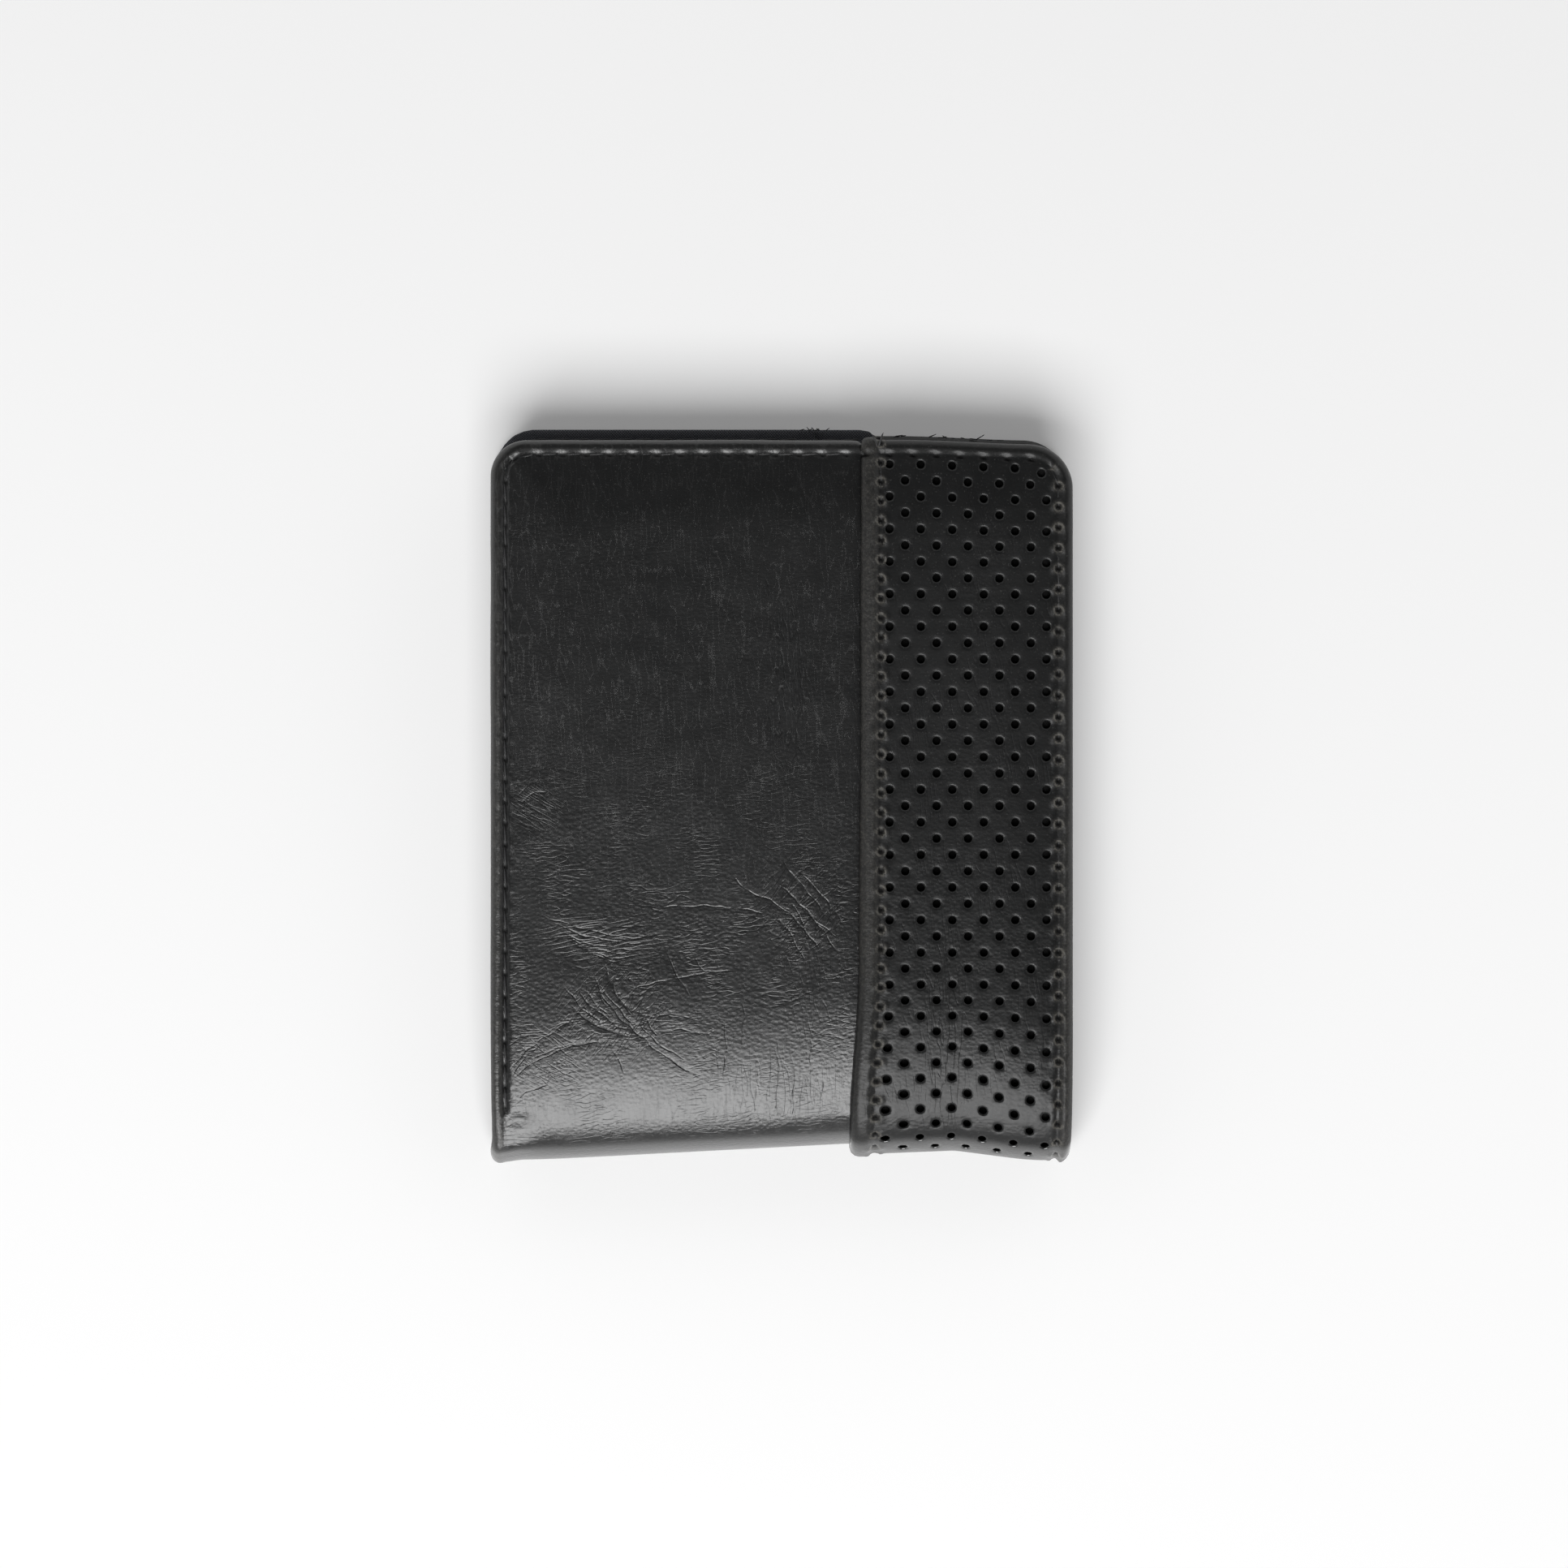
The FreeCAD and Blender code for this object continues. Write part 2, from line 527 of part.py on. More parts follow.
def flap_ring(width, z0, z1):
    """Space of the seam along three sides of the flap."""
    outer = FLAP_SEAM - width / 2
    inner = FLAP_SEAM + width / 2
    ring = slab((FLAP_X[0] + outer, FLAP_X[1]), (FLAP_Y[0] + outer, FLAP_Y[1] - outer),
                (z0, z1), (FLAP_CORNERS[0] - outer, 0))
    hole = slab((FLAP_X[0] + inner, FLAP_X[1] + 1), (FLAP_Y[0] + inner, FLAP_Y[1] - inner),
                (z0 - 1, z1 + 1), (FLAP_CORNERS[0] - inner, 0))
    return ring.cut(hole).common(box((-FAR, FLAP_X[1] - FLAP_SEAM), (-FAR, FAR)))


def flap_stitching():
    return flap_ring(THREAD_WIDTH, FLAP_Z + GROOVE_DEPTH - THREAD_T, FLAP_Z + GROOVE_DEPTH)


def all_parts():
    parts = {}
    for body in ("back", "spine", "front"):
        parts[f"main_panel_{body}"] = main_panel(body)
        parts[f"perforated_band_{body}"] = band(body)
        parts[f"outer_lining_{body}"] = outer_lining(body)
        parts[f"note_divider_{body}"] = divider(body)
        parts[f"divider_binding_{body}"] = binding(body)
    for side in ("back", "front"):
        parts[f"stiffener_{side}"] = stiffener(side)
        parts[f"inner_panel_{side}"] = inner_panel(side)
        for level in range(POCKET_COUNT):
            parts[f"card_pocket_{side}_{level + 1}"] = card_pocket(side, level)
        parts[f"edge_stitching_{side}"] = edge_stitching(side)
        parts[f"band_stitching_{side}"] = band_stitching(side)
        parts[f"pocket_stitching_{side}"] = pocket_stitching(side)
    parts["spine_stitching"] = spine_stitching()
    parts["hinge_anchor_strip"] = hinge_anchor()
    parts["flap_frame"] = flap_frame()
    parts["flap_window"] = flap_window()
    parts["flap_backing"] = flap_backing()
    parts["flap_slip_pocket"] = flap_slip_pocket()
    parts["flap_hinge_strip"] = flap_hinge_strip()
    parts["flap_stitching"] = flap_stitching()
    return parts


os.makedirs("parts", exist_ok=True)
whole = Part.makeCompound([])
for name, shape in all_parts().items():
    shape.exportStep(f"parts/{name}.step")
    whole.add(shape)
    print(f"{name:24s} {len(shape.Solids)} solids {shape.Volume:9.2f} mm3  valid {shape.isValid()}")
print("overall", whole.optimalBoundingBox(False))
for side, z in (("back", PIVOT["back"]), ("front", THICKNESS - PIVOT["front"])):
    print("fold line", side, FOLD_Y + PIVOT[side], z)
print("flap hinge line", HINGE_Y, HINGE_Z)
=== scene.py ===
"""Looks of the bifold wallet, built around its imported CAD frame.

Lengths are in millimetres until a mesh is made. The wallet lies on its back half with the
fold towards -Y. Each half's outer leather is a sheet laid along a profile that runs from the
free edge to the fold, so a place on it is x, the distance s from the free edge, and a depth.
"""
from math import cos, pi, radians, sin

import bmesh
import bpy
import numpy as np
from mathutils import Matrix, Vector, noise


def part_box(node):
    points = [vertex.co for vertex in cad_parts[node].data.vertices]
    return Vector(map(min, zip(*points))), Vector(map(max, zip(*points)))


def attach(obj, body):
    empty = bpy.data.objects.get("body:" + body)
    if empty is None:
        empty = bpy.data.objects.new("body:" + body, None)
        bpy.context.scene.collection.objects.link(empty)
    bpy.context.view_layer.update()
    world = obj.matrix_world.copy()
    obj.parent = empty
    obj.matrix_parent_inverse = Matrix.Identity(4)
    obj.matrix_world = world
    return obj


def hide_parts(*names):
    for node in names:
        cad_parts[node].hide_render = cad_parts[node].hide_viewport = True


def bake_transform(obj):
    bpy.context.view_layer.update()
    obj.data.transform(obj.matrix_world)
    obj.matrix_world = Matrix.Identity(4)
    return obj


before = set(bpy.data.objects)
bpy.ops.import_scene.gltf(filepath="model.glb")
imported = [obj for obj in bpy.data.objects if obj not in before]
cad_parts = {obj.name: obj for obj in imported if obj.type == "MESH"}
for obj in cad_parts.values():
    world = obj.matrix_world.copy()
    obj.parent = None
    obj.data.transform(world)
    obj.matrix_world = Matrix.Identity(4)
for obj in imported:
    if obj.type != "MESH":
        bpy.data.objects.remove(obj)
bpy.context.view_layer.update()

MM = 0.001
HALVES = ("front", "back")
OUT = {"front": 1, "back": -1}      # the way along Z that a half's outside faces


def corners(node):
    """Lowest and highest corner of a CAD node, in millimetres."""
    low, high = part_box(node)
    return low / MM, high / MM


# Places and sizes from the frame
TOP_X = corners("perforated_band_front")[1].x
BAND_X = corners("perforated_band_front")[0].x
BOTTOM_X = corners("main_panel_front")[0].x
THICK = corners("perforated_band_front")[1].z
FOLD_Y = corners("perforated_band_spine")[0].y
END = {side: corners(f"perforated_band_{side}")[1].y for side in HALVES}
BAND_T = THICK - corners("main_panel_front")[1].z
LEATHER_T = corners("main_panel_front")[1].z - corners("stiffener_front")[1].z
LINING_DEPTH = THICK - corners("outer_lining_front")[1].z
LINING_T = 0.3
SHELL_DEPTH = LINING_DEPTH + LINING_T
DIVIDER_DEPTH = corners("note_divider_spine")[0].y - FOLD_Y
THREAD = 0.5
EDGE_SEAM = corners("edge_stitching_front")[0].x + THREAD / 2 - BOTTOM_X
BAND_SEAM_X = (corners("band_stitching_front")[0].x + corners("band_stitching_front")[1].x) / 2
INNER_Y = corners("inner_panel_front")[0].y

# Sizes of the outer leather's own detail
CORNER_BOTTOM = 5.6
CORNER_TOP = 6.9
SIDE_STITCH = 3.3
TOP_STITCH = 3.65
BAND_STITCH = 3.0
BAND_SEAM_START = 0.6   # the band seam's first needle hole, from the free edge
HOLE_RADIUS = 0.62
HOLE_PITCH_X = 2.42
HOLE_PITCH_Y = 2.51
HOLE_COLUMNS = 11
FIRST_HOLE_X = BAND_X + 3.9
LAST_HOLE_X = FIRST_HOLE_X + (HOLE_COLUMNS - 1) * HOLE_PITCH_X
FIRST_CELL_X = FIRST_HOLE_X - HOLE_PITCH_X / 2
FIRST_CELL_S = 3.9 - HOLE_PITCH_Y / 2
CELL = 8                # grid squares along each side of a perforation cell


# The profile of the outer face: how each half runs into the fold

SLOPE_Y = -25.0         # the front half starts to fall towards the fold here
SLOPE_LENGTH = 24.0
SLOPE_TILT = radians(14)
CREST_TILT = radians(27)    # the bend is slow up to this tilt, and tight after it
TIGHT_RADIUS = 8.0
DEEP_BEND = 0.4         # bend radius of the back half's layers that lie above the split
PROFILE_STEP = 0.05
PROFILE_REACH = 150
SLOPE_S = END["front"] - SLOPE_Y


def integrate(start, rates):
    return start + np.concatenate([[0], np.cumsum(rates)[:-1]]) * PROFILE_STEP


def front_profile(depth):
    """Distance, y, z and tilt along the front half's line at a depth, down to its steepest."""
    s = np.arange(0, PROFILE_REACH, PROFILE_STEP)
    last_tilt = SLOPE_TILT * min(1.0, (THICK - depth) / (THICK - SHELL_DEPTH))
    slope = last_tilt * np.clip((s - SLOPE_S) / SLOPE_LENGTH, 0, 1) ** 2
    sloping = (s > SLOPE_S) & (s < SLOPE_S + SLOPE_LENGTH)
    bend_y = SLOPE_Y - np.cos(slope[sloping]).sum() * PROFILE_STEP
    tight = TIGHT_RADIUS - depth
    slow_reach = bend_y - FOLD_Y - depth - tight * (1 - sin(CREST_TILT))
    slow = slow_reach / (sin(CREST_TILT) - sin(last_tilt))
    to_crest = slow * (CREST_TILT - last_tilt)
    past = np.clip(s - SLOPE_S - SLOPE_LENGTH, 0, None)
    tilt = slope + np.minimum(past, to_crest) / slow + np.clip(past - to_crest, 0, None) / tight
    tilt = np.minimum(tilt, pi / 2)
    y = integrate(END["front"], -np.cos(tilt))
    z = integrate(THICK - depth, -np.sin(tilt))
    return s, y, z, tilt


def split_height():
    """Where the front half's sheet meets the back half's, at the fold."""
    _, _, z, tilt = front_profile(0)
    return float(z[(tilt < pi / 2).sum()])


SPLIT_Z = split_height()


def profile(side, depth=0.0):
    """Distance, y, z and tilt along the line at a depth, from the free edge to just past the split."""
    meet = SPLIT_Z if depth < SPLIT_Z - DEEP_BEND else depth + DEEP_BEND + PROFILE_STEP
    if side == "front":
        s, y, z, tilt = front_profile(depth)
        last = max((z > meet).sum(), 2) + 1
    else:
        s = np.arange(0, PROFILE_REACH, PROFILE_STEP)
        radius = max(SPLIT_Z - depth, DEEP_BEND)
        tilt = np.clip((s - (END["back"] - FOLD_Y - depth - radius)) / radius, 0, pi / 2)
        y = integrate(END["back"], -np.cos(tilt))
        z = integrate(depth, np.sin(tilt))
        last = (z < meet).sum() + 1
    return s[:last], y[:last], z[:last], tilt[:last]


def split_s(side, depth=0.0):
    """Distance from the free edge to the split, along the line at a depth."""
    return profile(side, depth)[0][-1]


def bend_start(side, tilt):
    """Index of the point where a half's line starts to bend."""
    straight = 0.001 + (SLOPE_TILT if side == "front" else 0)
    return (tilt <= straight).sum() - 1


# The relaxed shape of the used wallet, which every piece follows

BELLY = 0.25            # how far the front rises in the middle
PINCH = 0.55            # how far the stitches pull the layers together along the edges
FREE_PINCH = 0.25       # and how much more along the free edge
FREE_LEAN = 0.7         # how far the free edge has slipped back near the note opening
BACK_LEAN = 0.35        # how far the back's free edge has slipped towards the closed side


def smooth(t):
    t = np.clip(t, 0, 1)
    return t * t * (3 - 2 * t)


def bell(*offsets):
    """1 in the middle, falling off like a bell all round."""
    return np.exp(-sum(offset ** 2 for offset in offsets))


def fade(distance, reach):
    """1 at and outside an edge, fading out over a reach inside it."""
    return np.exp(-np.clip(distance, 0, None) / reach)


def curve_through(points, width=3.0, pitch=0.1):
    """A smooth function of x through a few (x, value) points."""
    x = np.arange(-60, 60, pitch)
    value = np.interp(x, *zip(*points))
    window = np.hanning(int(width / pitch))
    padded = np.pad(value, len(window), mode="edge")
    soft = np.convolve(padded, window / window.sum(), mode="same")[len(window):-len(window)]
    return lambda at: np.interp(at, x, soft)


# How far the fold pokes out along the wallet's height: the plain leather, and the band
PLAIN_FOLD = curve_through([(-45, 1.7), (-43.6, 1.9), (-41, 1.35), (-34, 1.1), (10, -1.2),
                            (13, -1.0), (27, -1.5), (40, -0.2), (45, 0.2)])
BAND_FOLD = curve_through([(12, -0.55), (16, -0.65), (27, -1.1), (37, 0.2), (41, 0.6), (45, 0.65)])


def slope_drop(y):
    """How far the front half's outer face has fallen at y, before the bend."""
    t = np.clip((SLOPE_Y - y) / SLOPE_LENGTH, 0, 1)
    return SLOPE_LENGTH * SLOPE_TILT / 3 * t ** 3


def free_lean(x):
    """How far the free edge has slipped back, along the wallet's height."""
    return FREE_LEAN * smooth((x - 18) / 22)


def relax(side, x, y, z, fold, drops=False):
    """Moves points of the flat, square wallet to where they lie in the used one."""
    shift = fold(x) * smooth((-22 - y) / 32)
    level = np.clip(z / (THICK - SHELL_DEPTH), 0, 1)
    edge = np.minimum(np.minimum(x - BOTTOM_X, TOP_X - x), END["front"] - y)
    pinch = PINCH * (1 - smooth(edge / 13)) + FREE_PINCH * (1 - smooth((END["front"] - y) / 15))
    belly = BELLY * bell((x + 12) / 26, (y - 5) / 34)
    rise = (belly - pinch) * level * (1 - smooth((-30 - y) / 20))
    if drops:
        rise = rise - slope_drop(y) * np.clip((z - SHELL_DEPTH) / (THICK - 2 * SHELL_DEPTH), 0, 1)
    if side == "back":
        x = x - BACK_LEAN * smooth((y - 10) / 45) * smooth((20 - x) / 60)
    return x, y - shift - free_lean(x) * smooth((y - 25) / 28), z + rise


def on_skin(side, x, s, depth, fold):
    """Places on the outer shell's layers, given x, distance from the free edge and depth."""
    line_s, *lines = profile(side)
    y, z, tilt = (np.interp(s, line_s, line) for line in lines)
    x, y, z = relax(side, x, y + np.sin(tilt) * depth, z - OUT[side] * np.cos(tilt) * depth, fold)
    return np.stack([x, y, z], axis=1)


def on_layer(side, x, s, depth):
    """Places on a deeper layer that runs into the fold, by its own line."""
    line_s, line_y, line_z, _ = profile(side, depth)
    x, y, z = relax(side, x, np.interp(s, line_s, line_y), np.interp(s, line_s, line_z), PLAIN_FOLD)
    return np.stack([x, y, z], axis=1)


def on_half(side, x, y, z):
    """Places on the layers between the outer shells."""
    return np.stack(relax(side, x, y, z, PLAIN_FOLD, drops=True), axis=1)


def band_swing(side, x, s):
    """How far the band's inner edge has swung sideways near the fold."""
    first, length = (END[side] + 26, 26) if side == "front" else (split_s(side) - 20, 20)
    return -1.25 * smooth((s - first) / length) * np.clip((20 - x) / (20 - BAND_X), 0, 1)


# Grids with turned edges

def runs(start, *stops):
    """Values from a start through (end, pitch) runs, evenly spaced within each run."""
    values = [start]
    for end, pitch in stops:
        count = max(1, round(abs(end - values[-1]) / pitch))
        values += list(np.linspace(values[-1], end, count + 1)[1:])
    return np.array(values)


def zoned(start, stop, pitch, lines=(), fine=0.3, reach=0.9):
    """Values from start to stop, closer together near some lines."""
    marks = {start, stop}
    for line in lines:
        marks |= {min(max(line + off, start), stop) for off in (-reach, reach)}
    marks = sorted(marks)
    stops = []
    for a, b in zip(marks, marks[1:]):
        near = any(abs((a + b) / 2 - line) < reach for line in lines)
        stops.append((b, fine if near else pitch))
    return runs(start, *stops)


def rolled(u, radius, sink):
    """Inset from the silhouette and depth below the face, at a distance u round a turned edge."""
    angle = np.clip(u / radius, -pi / 2, pi / 2)
    past = np.clip(np.abs(u) - radius * pi / 2, 0, None)
    inset = radius - (radius - sink) * np.cos(angle) + past
    return inset, radius - (radius - sink) * np.sin(angle)


def unrolled(radius):
    """How much longer the way round a turned edge is than the way straight across it."""
    return radius * pi / 2 - radius


def turned_corner(u, v, radius, corner, sink=0.0):
    """Insets from two sides that meet at a rounded corner, and depth, from distances round both."""
    near, far = np.minimum(u, v), np.maximum(u, v)
    inset, depth = rolled(near, radius, sink)
    beyond = far - unrolled(radius)
    span = np.where(near < 0, np.maximum(corner, inset + 0.5), corner)
    start = span + unrolled(radius)
    share = np.clip((start - far) / np.maximum(start - near, 1e-6), 0, 1)
    share = np.where(inset < span, share, 0)
    angle = share * pi / 4
    bend = np.maximum(span - inset, 0)
    across = np.where(share > 0, span - bend * np.cos(angle), inset)
    along = np.where(share > 0, span - bend * np.sin(angle), np.maximum(beyond, inset))
    first = u <= v
    return np.where(first, across, along), np.where(first, along, across), depth


def turned_runs(radius, fine_to, hem):
    """Distances round a turned edge: the hem underneath, the roll, and the border's fine part."""
    half = radius * pi / 2
    return (-half - hem, (-half, 1.3), (half, 0.32), (fine_to, 0.3))


def round_outline(x, y, x_span, y_span, rounding):
    """Rounds corners of a rectangular grid; the radii go by (low x end, low y end)."""
    for (low_x, low_y), radius in rounding.items():
        cx = x_span[0] + radius if low_x else x_span[1] - radius
        cy = y_span[0] + radius if low_y else y_span[1] - radius
        dx = (cx - x) if low_x else (x - cx)
        dy = (cy - y) if low_y else (y - cy)
        inside = (dx > 0) & (dy > 0)
        length = np.where(inside, np.hypot(dx, dy), 1)
        share = np.where(inside, np.maximum(dx, dy) / length, 1)
        x = np.where(inside, cx + (x - cx) * share, x)
        y = np.where(inside, cy + (y - cy) * share, y)
    return x, y


def grid(columns, rows):
    """A bmesh grid, with the column and row of each vertex."""
    bm = bmesh.new()
    bmesh.ops.create_grid(bm, x_segments=columns - 1, y_segments=rows - 1, size=1)
    bm.verts.ensure_lookup_table()
    place = np.array([v.co for v in bm.verts])
    column = np.rint((place[:, 0] + 1) / 2 * (columns - 1)).astype(int)
    row = np.rint((place[:, 1] + 1) / 2 * (rows - 1)).astype(int)
    return bm, column, row


def put(bm, points):
    for vert, point in zip(bm.verts, points):
        vert.co = point


def raised(bm, height):
    """The vertices' places, lifted along their normals."""
    bm.normal_update()
    return np.array([v.co for v in bm.verts]) + np.array([v.normal for v in bm.verts]) * height[:, None]


def nearest(*offsets):
    """The vertex with the smallest distance, by its parts."""
    return int(np.argmin(sum(offset ** 2 for offset in offsets)))


def face_towards(bm, index, direction):
    """Turns an open sheet round if its face at a vertex looks away from a direction."""
    bm.normal_update()
    bm.verts.ensure_lookup_table()
    if bm.verts[index].normal.dot(Vector(direction)) < 0:
        bmesh.ops.reverse_faces(bm, faces=bm.faces)


def cut_out(bm, gone):
    """Deletes the vertices that a mask marks."""
    bmesh.ops.delete(bm, geom=[vert for vert, out in zip(bm.verts, gone) if out], context="VERTS")


def rumple(x, y, size, seed):
    """Smooth noise over a plane, about -1 to 1."""
    return np.array([noise.noise(Vector((a / size, b / size, seed * 7.3))) for a, b in zip(x, y)])


# Objects

def make_object(name, bm, material, values=None, cut=None):
    """Makes the object: metres, smooth faces, per-vertex values and the flat cut's own map."""
    mesh = bpy.data.meshes.new(name)
    bm.to_mesh(mesh)
    bm.free()
    mesh.transform(Matrix.Scale(MM, 4))
    mesh.polygons.foreach_set("use_smooth", [True] * len(mesh.polygons))
    for key, value in (values or {}).items():
        made = mesh.attributes.new(key, "FLOAT", "POINT")
        made.data.foreach_set("value", np.asarray(value, np.float32))
    if cut is not None:
        layer = mesh.uv_layers.new(name="cut")
        index = np.zeros(len(mesh.loops), np.int32)
        mesh.loops.foreach_get("vertex_index", index)
        layer.data.foreach_set("uv", (cut[index] * MM).astype(np.float32).ravel())
    mesh.materials.append(material)
    obj = bpy.data.objects.new(name, mesh)
    bpy.context.scene.collection.objects.link(obj)
    return obj


def piece(name, bm, finish, values=None, cut=None):
    """An object with one of the finishes below, in that finish's slot."""
    obj = make_object(name, bm, FINISH[finish], values, cut)
    return obj


def thicken(obj, thickness):
    wall = obj.modifiers.new("thickness", "SOLIDIFY")
    wall.thickness = thickness * MM
    wall.offset = -1


def soften(obj, width):
    edge = obj.modifiers.new("edge", "BEVEL")
    edge.width = width * MM
    edge.segments = 2
    edge.limit_method = "ANGLE"
    edge.angle_limit = radians(50)


def nodes_of(stem, side, spine=None):
    """CAD nodes that a half's piece stands for; the front's piece stands for the spine's too."""
    return [f"{stem}_{side}"] + ([spine or f"{stem}_spine"] if side == "front" else [])


def through_fold(obj, side, nodes, depth=0.0):
    """Hides the CAD nodes that a piece stands for and bakes the piece's place into its mesh."""
    _, y, z, tilt = profile(side, depth)
    start, end = ((0, y[at] * MM, z[at] * MM) for at in (bend_start(side, tilt), -1))
    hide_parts(*nodes)
    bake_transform(obj)


# Shader maths

def operation(name, reflected=False):
    """A method that puts one maths node between a wire and another value."""
    def method(wire, other):
        return wire.maths(name, other, wire) if reflected else wire.maths(name, wire, other)
    return method


class Wire:
    """A shader socket that takes Python arithmetic."""

    def __init__(self, graph, socket):
        self.graph = graph
        self.socket = socket

    def maths(self, name, *values):
        return self.graph.node("ShaderNodeMath", {"operation": name}, dict(enumerate(values)))

    __add__ = operation("ADD")
    __radd__ = __add__
    __mul__ = operation("MULTIPLY")
    __rmul__ = __mul__
    __sub__ = operation("SUBTRACT")
    __rsub__ = operation("SUBTRACT", reflected=True)

    def __abs__(self):
        return self.maths("ABSOLUTE", self)

    def __neg__(self):
        return self * -1

    def sine(self):
        return self.maths("SINE", self)


class Graph:
    """The node tree of a material or a world."""

    def __init__(self, owner):
        owner.use_nodes = True
        self.owner = owner
        self.tree = owner.node_tree
        self.tree.nodes.clear()

    def node(self, kind, settings=None, sockets=None, out=0):
        """Adds a node with its settings, then fills its sockets with wires or constants."""
        made = self.tree.nodes.new(kind)
        for key, value in (settings or {}).items():
            setattr(made, key, value)
        for key, value in (sockets or {}).items():
            if isinstance(value, Wire):
                self.tree.links.new(value.socket, made.inputs[key])
            else:
                made.inputs[key].default_value = value
        return Wire(self, made.outputs[out]) if len(made.outputs) else None

    def object_place(self):
        return self.node("ShaderNodeTexCoord", out="Object")

    def cut_place(self):
        """Place on the flat cut sheet, in metres."""
        return self.node("ShaderNodeUVMap", {"uv_map": "cut"})

    def axis(self, place, letter):
        return self.node("ShaderNodeSeparateXYZ", None, {0: place}, letter)

    def value(self, name):
        return self.node("ShaderNodeAttribute", {"attribute_name": name}, out="Fac")

    def turned(self, place, at=(0, 0), angle=0.0, size=(1, 1)):
        """A place measured from a point, along a direction, in units of a size; millimetres."""
        return self.node("ShaderNodeMapping", {"vector_type": "TEXTURE"}, {
            "Vector": place, "Location": (at[0] * MM, at[1] * MM, 0), "Rotation": (0, 0, angle),
            "Scale": (size[0] * MM, size[1] * MM, MM)})

    def noise(self, place, size, detail=2.0, roughness=0.5):
        """Cloudy noise, 0 to 1 about 0.5, with features of a size in millimetres."""
        return self.node("ShaderNodeTexNoise", None, {
            "Vector": place, "Scale": 1 / (size * MM), "Detail": detail, "Roughness": roughness})

    def step(self, value, low, high, to=(0.0, 1.0)):
        return self.node("ShaderNodeMapRange", {"interpolation_type": "SMOOTHSTEP"}, {
            "Value": value, "From Min": low, "From Max": high, "To Min": to[0], "To Max": to[1]})

    def patches(self, place, size, detail, low, high):
        """Soft-edged patches: 1 where the noise is above a band of values, 0 where it is below."""
        return self.step(self.noise(place, size, detail), low, high)

    def blend_colour(self, factor, first, second):
        def rgba(colour):
            return colour if isinstance(colour, Wire) else (*colour, 1)
        colours = {0: factor, 6: rgba(first), 7: rgba(second)}
        return self.node("ShaderNodeMix", {"data_type": "RGBA"}, colours, 2)

    def spot(self, place, at, size):
        """1 at a place's middle, falling to 0 at its elliptical edge."""
        local = self.turned(place, at, size=size)
        length = self.node("ShaderNodeVectorMath", {"operation": "LENGTH"}, {0: local}, "Value")
        return self.step(length, 1.0, 0.25)

    def creases(self, place, degrees, length, pitch, width, seed):
        """Thin broken lines, 0 to 1, that run in one direction."""
        local = self.turned(place, (seed * 31, seed * 17), radians(degrees), (length, pitch))
        cloud = self.node("ShaderNodeTexNoise", None, {"Vector": local, "Scale": 1.0, "Detail": 0.6})
        return self.step(abs(cloud - 0.5), width, 0.0)

    def finish(self, sockets, height):
        """Closes a material's graph with its surface shader and a bump height in millimetres."""
        normal = self.node("ShaderNodeBump", None, {"Height": height, "Distance": MM, "Strength": 1.0})
        surface = self.node("ShaderNodeBsdfPrincipled", None, {**sockets, "Normal": normal})
        return self.close(surface)

    def close(self, surface, kind="ShaderNodeOutputMaterial"):
        self.node(kind, None, {"Surface": surface})
        return self.owner


def new_material(name):
    return Graph(bpy.data.materials.new(name))


CREASE_SETS = 8

